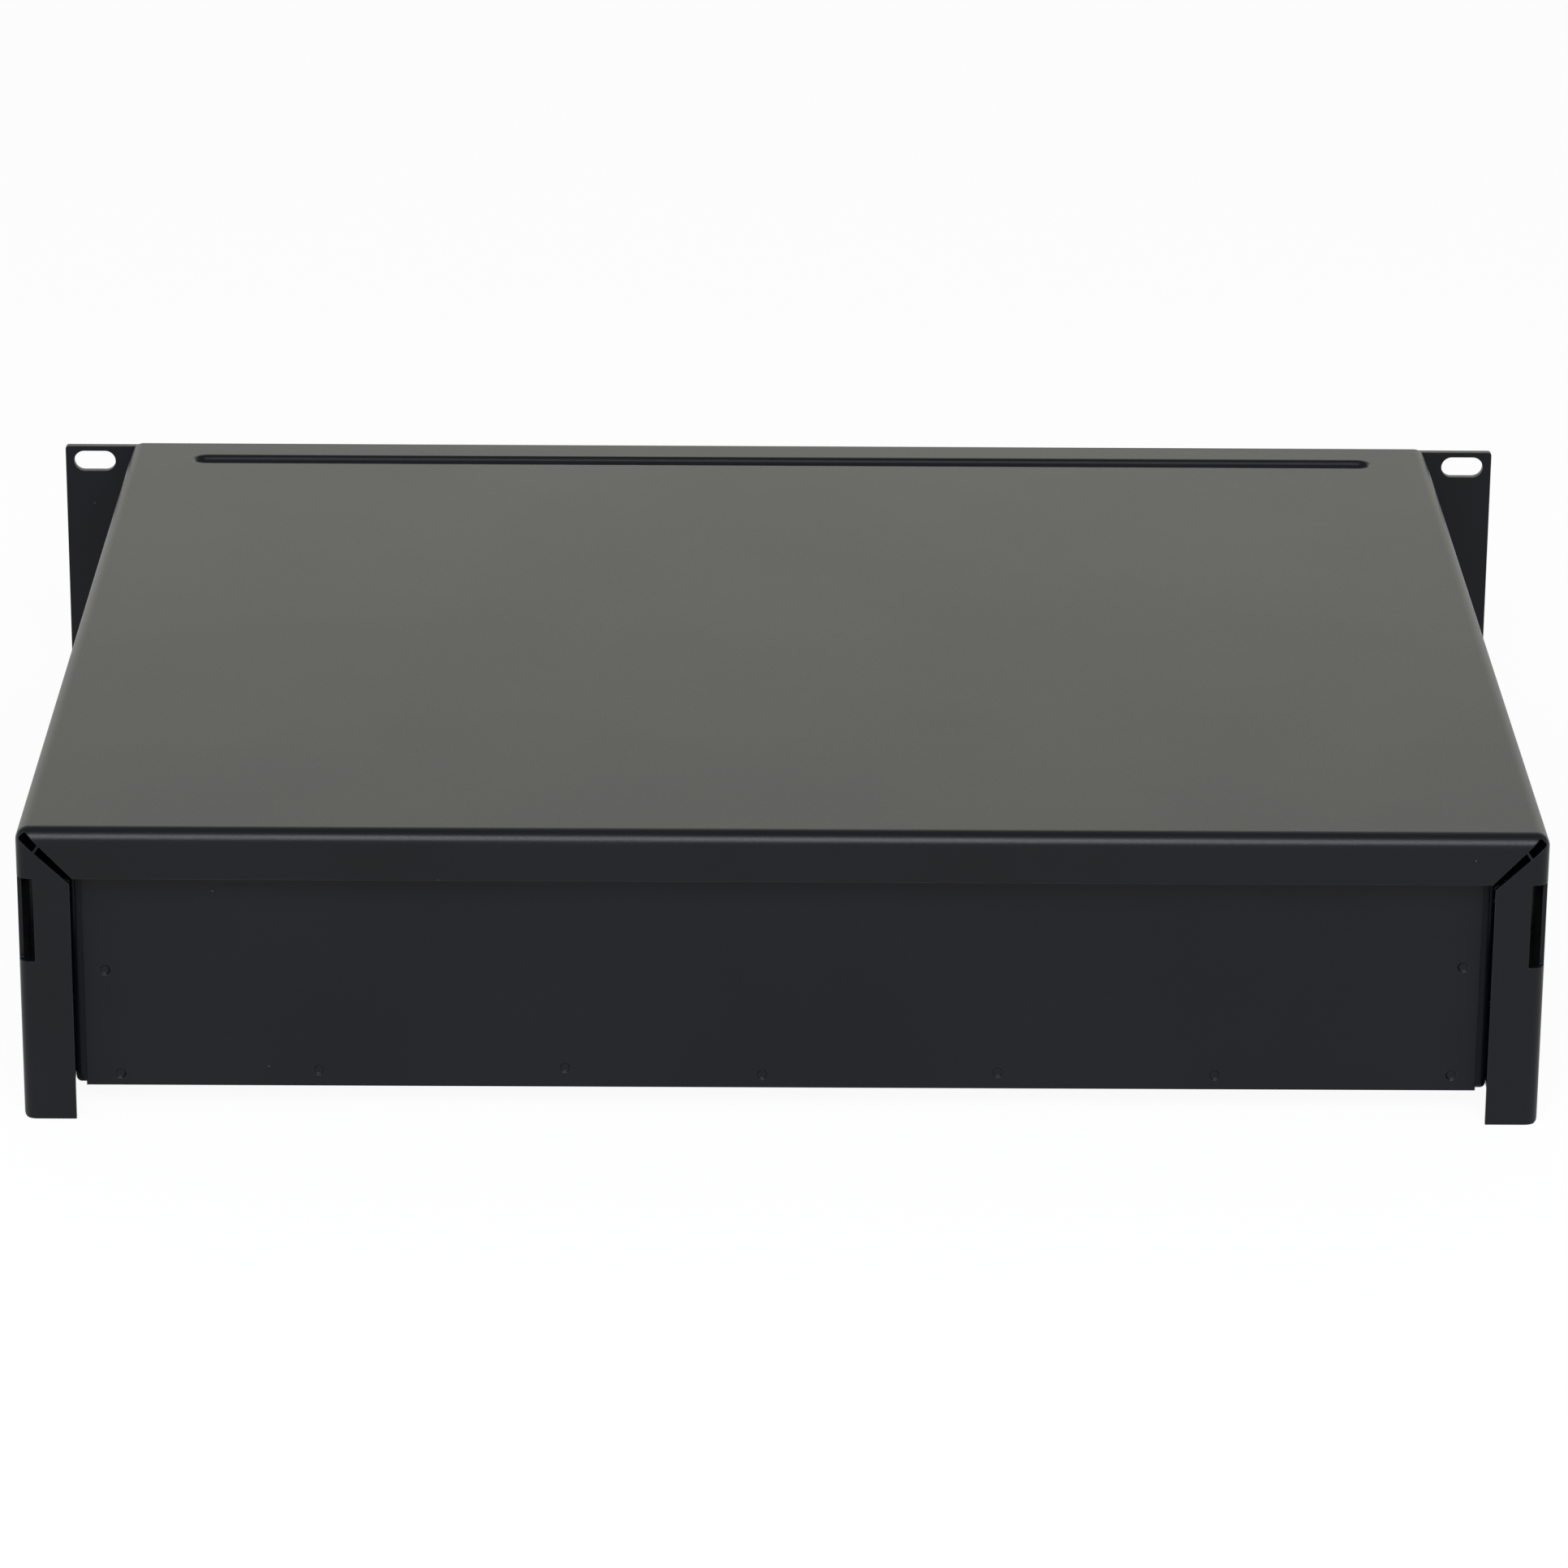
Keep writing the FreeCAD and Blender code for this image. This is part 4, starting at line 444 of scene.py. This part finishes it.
def moulded(name, tone, roughness, ior, pitch, depth, dust):
    """Injection-moulded plastic or moulded rubber.

    It gives the eye the dull skin of a spark-eroded mould, softened edges and a little dust.
    """
    tree = new_tree(name)
    where = node(tree, "ShaderNodeTexCoord").outputs["Object"]
    rounded = node(tree, "ShaderNodeBevel", {"Radius": MOULDED_EDGE}, samples=4)
    # A real skin's pits are near 0.1 mm and would not show, so they are drawn at the coarser pitch given.
    skin = node(tree, "ShaderNodeTexNoise", {"Vector": where, "Scale": 1 / pitch, **FINE})
    sink = node(tree, "ShaderNodeTexNoise", {"Vector": where, "Scale": 1 / SINK_PITCH, **PLAIN})
    normal = node(tree, "ShaderNodeBump", {"Distance": SINK_DEPTH, "Height": sink, "Normal": rounded})
    normal = node(tree, "ShaderNodeBump", {"Distance": depth, "Height": skin, "Normal": normal})
    pale = tuple(min(1.0, value * SINK_TONE + dust) for value in tone)
    sunk = node(tree, "ShaderNodeMapRange", [sink, *GRAIN, 0.0, 1.0], **SMOOTH)
    base = node(tree, "ShaderNodeMix", {FACTOR: sunk, FIRST: tone, SECOND: pale}, **COLOURS)
    base = node(tree, "ShaderNodeMix", {FACTOR: edges(tree, rounded), FIRST: base, SECOND: pale}, **COLOURS)
    low, high = roughness - SKIN_SHEEN, roughness + SKIN_SHEEN
    sheen = node(tree, "ShaderNodeMapRange", [skin, *GRAIN, low, high], **SMOOTH)
    shader = node(
        tree,
        "ShaderNodeBsdfPrincipled",
        {"Base Color": base, "Roughness": sheen, "IOR": ior, "Normal": normal},
    )
    node(tree, "ShaderNodeOutputMaterial", {"Surface": shader})


def dress(slot, name):
    """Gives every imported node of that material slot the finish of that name."""
    material = bpy.data.materials[name]
    dressed = 0
    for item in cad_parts.values():
        for place in item.material_slots:
            if place.material and place.material.name.split(".")[0] == slot:
                place.material = material
                dressed += 1
    if not dressed:
        raise RuntimeError(f"no packed node has the material slot {slot}")


class CoatCover(bpy.types.Operator):
    """Powder coat on the folded cover, the lock strike and the rack ears"""

    bl_idname = "rackdrawer.coat_cover"
    bl_label = "Coat the cover and rack ears"

    def execute(self, context):
        coat = context.scene.rack_coat
        powder_coat("PowderCoatCover", coat.cover, coat)
        powder_coat("PowderCoatEars", coat.ears, coat)
        dress("cover_powder", "PowderCoatCover")
        dress("ear_powder", "PowderCoatEars")
        return {"FINISHED"}


class CoatDrawer(bpy.types.Operator):
    """Powder coat on the tray, its back, the front plate and the handle"""

    bl_idname = "rackdrawer.coat_drawer"
    bl_label = "Coat the drawer"

    def execute(self, context):
        coat = context.scene.rack_coat
        powder_coat("PowderCoatDrawer", coat.drawer, coat)
        powder_coat("PowderCoatFront", coat.front, coat)
        powder_coat("PowderCoatHandle", coat.front, coat, roughness=coat.gloss + HANDLE_SHEEN)
        dress("drawer_powder", "PowderCoatDrawer")
        dress("front_powder", "PowderCoatFront")
        dress("handle_black", "PowderCoatHandle")
        return {"FINISHED"}


class FinishSlides(bpy.types.Operator):
    """Electrocoated rails, bearing balls, moulded cages, levers and rubber stops"""

    bl_idname = "rackdrawer.finish_slides"
    bl_label = "Finish the ball slides"

    def execute(self, context):
        metal = context.scene.rack_metal
        moulding = context.scene.rack_moulding
        electrocoat("ElectrocoatedRail", metal.electrocoat, metal, roughness=0.32)
        polished_metal("BearingSteelBall", metal.steel, roughness=0.06, haze=0.06)
        moulded(
            "AcetalCage",
            moulding.cage,
            roughness=0.42,
            ior=1.48,
            pitch=0.5 * MM,
            depth=0.006 * MM,
            dust=0.0,
        )
        moulded(
            "PolyamideLever",
            moulding.lever,
            roughness=0.48,
            ior=1.53,
            pitch=0.4 * MM,
            depth=0.012 * MM,
            dust=0.006,
        )
        moulded(
            "RubberBumper",
            moulding.bumper,
            roughness=0.72,
            ior=1.52,
            pitch=0.6 * MM,
            depth=0.02 * MM,
            dust=0.012,
        )
        dress("rail_black", "ElectrocoatedRail")
        dress("ball_steel", "BearingSteelBall")
        dress("cage_plastic", "AcetalCage")
        dress("lever_plastic", "PolyamideLever")
        dress("bumper_rubber", "RubberBumper")
        return {"FINISHED"}


class FinishFastenings(bpy.types.Operator):
    """Zinc-plated screws and black lacquered rivets"""

    bl_idname = "rackdrawer.finish_fastenings"
    bl_label = "Finish the screws and rivets"

    def execute(self, context):
        metal = context.scene.rack_metal
        coat = context.scene.rack_coat
        zinc_plate("ZincPlatedScrew", metal.zinc, metal, roughness=0.26, oily=0.2)
        powder_coat("LacqueredRivet", metal.lacquer, coat, roughness=0.34)
        dress("screw_zinc", "ZincPlatedScrew")
        dress("rivet_black", "LacqueredRivet")
        return {"FINISHED"}


class FinishLock(bpy.types.Operator):
    """Chrome-plated lock with its zinc-plated nut and cam"""

    bl_idname = "rackdrawer.finish_lock"
    bl_label = "Finish the cam lock"

    def execute(self, context):
        metal = context.scene.rack_metal
        polished_metal("ChromePlatedLock", metal.chrome, roughness=0.08, haze=0.05)
        zinc_plate("ZincPlatedNut", metal.zinc, metal, roughness=0.34, oily=0.3)
        zinc_plate("ZincPlatedCam", metal.zinc, metal, roughness=0.30, oily=0.3)
        dress("lock_chrome", "ChromePlatedLock")
        dress("nut_zinc", "ZincPlatedNut")
        dress("cam_zinc", "ZincPlatedCam")
        return {"FINISHED"}


def seen_rays(tree):
    """1 for the rays that show the background: to the camera, in a sheen, or through a clear piece."""
    path = node(tree, "ShaderNodeLightPath").outputs
    rays = [path["Is Camera Ray"], path["Is Glossy Ray"]]
    seen = node(tree, "ShaderNodeMath", rays, operation="MAXIMUM")
    return node(tree, "ShaderNodeMath", [seen, path["Is Transmission Ray"]], operation="MAXIMUM")


def lay_floor(scene, stage):
    """A sheet of pale card that shows white, with a trace of the drawer's shadow."""
    mesh = bpy.data.meshes.new("floor")
    sides = ((-1, -1), (1, -1), (1, 1), (-1, 1))
    corners = [(x * CARD_REACH, y * CARD_REACH, FLOOR_HEIGHT) for x, y in sides]
    mesh.from_pydata(corners, [], [(0, 1, 2, 3)])
    floor = bpy.data.objects.new("floor", mesh)
    scene.collection.objects.link(floor)
    tree = new_tree("PaleCard")
    where = node(tree, "ShaderNodeTexCoord").outputs["Object"]
    mottle = node(tree, "ShaderNodeTexNoise", {"Vector": where, "Scale": 1 / MOTTLE_PITCH, **PLAIN})
    mottle = node(tree, "ShaderNodeMapRange", [mottle, *GRAIN, 0.0, 1.0], **SMOOTH)
    paler = tuple(min(1.0, value * MOTTLE_TONE) for value in stage.card)
    card = node(tree, "ShaderNodeMix", {FACTOR: mottle, FIRST: stage.card, SECOND: paler}, **COLOURS)
    matt = node(tree, "ShaderNodeBsdfDiffuse", {"Color": card})
    white = node(tree, "ShaderNodeEmission", {"Strength": 1.0})
    shown = node(tree, "ShaderNodeMath", [seen_rays(tree), 1 - stage.shadow], operation="MULTIPLY")
    surface = node(tree, "ShaderNodeMixShader", [shown, matt, white])
    node(tree, "ShaderNodeOutputMaterial", {"Surface": surface})
    mesh.materials.append(bpy.data.materials["PaleCard"])


def light_room(scene, stage):
    """White walls near the horizon, lit paper on the side that the drawer's face looks to, dim ceiling."""
    world = bpy.data.worlds.new("Room")
    scene.world = world
    world.use_nodes = True
    tree = world.node_tree
    tree.nodes.clear()
    direction = node(tree, "ShaderNodeTexCoord").outputs["Generated"]
    part = node(tree, "ShaderNodeSeparateXYZ", [direction]).outputs
    wall = node(tree, "ShaderNodeMapRange", [part["Z"], *WALL_TOP, 1.0, 0.0], **SMOOTH)
    room = node(tree, "ShaderNodeMix", {FACTOR: wall, FIRST: stage.ceiling, SECOND: WHITE}, **COLOURS)
    paper = node(tree, "ShaderNodeMapRange", [part["Y"], *BACKDROP_EDGE, 1.0, 0.0], **SMOOTH)
    room = node(tree, "ShaderNodeMix", {FACTOR: paper, FIRST: room, SECOND: stage.backdrop}, **COLOURS)
    light = node(tree, "ShaderNodeMapRange", [paper, 0.0, 1.0, 1.0, stage.backdrop_light], **SMOOTH)
    sky = node(tree, "ShaderNodeBackground", {"Color": room, "Strength": light})
    node(tree, "ShaderNodeOutputWorld", {"Surface": sky})


def hang_lamp(scene, stage):
    """A softbox behind and above the drawer, turned to its middle."""
    data = bpy.data.lights.new("softbox", "AREA")
    data.shape = "RECTANGLE"
    data.size = stage.lamp_width
    data.size_y = stage.lamp_depth
    # The face of an area lamp has a radiance of its power over pi and over its area.
    data.energy = stage.lamp_radiance * math.pi * stage.lamp_width * stage.lamp_depth
    data.color = stage.lamp
    lamp = bpy.data.objects.new("softbox", data)
    lamp.location = stage.lamp_place
    middle = (CAD_BOX[0] + CAD_BOX[1]) / 2
    lamp.rotation_euler = (Vector(stage.lamp_place) - middle).to_track_quat("Z", "Y").to_euler()
    scene.collection.objects.link(lamp)


def place_camera(scene, stage):
    """The camera, behind the drawer and above it."""
    data = bpy.data.cameras.new("camera")
    data.sensor_width = SENSOR_WIDTH
    data.lens = stage.lens
    data.clip_start = NEAREST
    data.clip_end = FARTHEST
    camera = bpy.data.objects.new("camera", data)
    camera.location = stage.camera_place
    camera.rotation_euler = Euler(stage.camera_turn, "XYZ")
    scene.collection.objects.link(camera)
    scene.camera = camera


class SetStage(bpy.types.Operator):
    """Card, room light, softbox and camera"""

    bl_idname = "rackdrawer.set_stage"
    bl_label = "Set the stage"

    def execute(self, context):
        scene = context.scene
        for part in (lay_floor, light_room, hang_lamp, place_camera):
            part(scene, scene.rack_stage)
        scene.view_settings.view_transform = "Standard"
        return {"FINISHED"}


OPERATORS = (CoatCover, CoatDrawer, FinishSlides, FinishFastenings, FinishLock, SetStage)


class RackDrawerPanel(bpy.types.Panel):
    """Lists the sizes, colours and steps"""

    bl_idname = "RACKDRAWER_PT_steps"
    bl_label = "Rack drawer"
    bl_space_type = "VIEW_3D"
    bl_region_type = "UI"
    bl_category = "Rack drawer"

    def draw(self, context):
        for name in GROUPS:
            box = self.layout.box()
            group = getattr(context.scene, name)
            for item in group.__annotations__:
                box.prop(group, item)
        for step in OPERATORS:
            self.layout.operator(step.bl_idname)


GROUPS = {
    "rack_coat": CoatSettings,
    "rack_metal": MetalSettings,
    "rack_moulding": MouldingSettings,
    "rack_stage": StageSettings,
}
CLASSES = (*GROUPS.values(), *OPERATORS, RackDrawerPanel)


def register():
    for item in CLASSES:
        bpy.utils.register_class(item)
    for name, group in GROUPS.items():
        setattr(bpy.types.Scene, name, PointerProperty(type=group))


def unregister():
    for name in GROUPS:
        delattr(bpy.types.Scene, name)
    for item in reversed(CLASSES):
        bpy.utils.unregister_class(item)


def main():
    register()
    bpy.ops.rackdrawer.coat_cover()
    bpy.ops.rackdrawer.coat_drawer()
    bpy.ops.rackdrawer.finish_slides()
    bpy.ops.rackdrawer.finish_fastenings()
    bpy.ops.rackdrawer.finish_lock()
    bpy.ops.rackdrawer.set_stage()


if __name__ == "__main__":
    main()
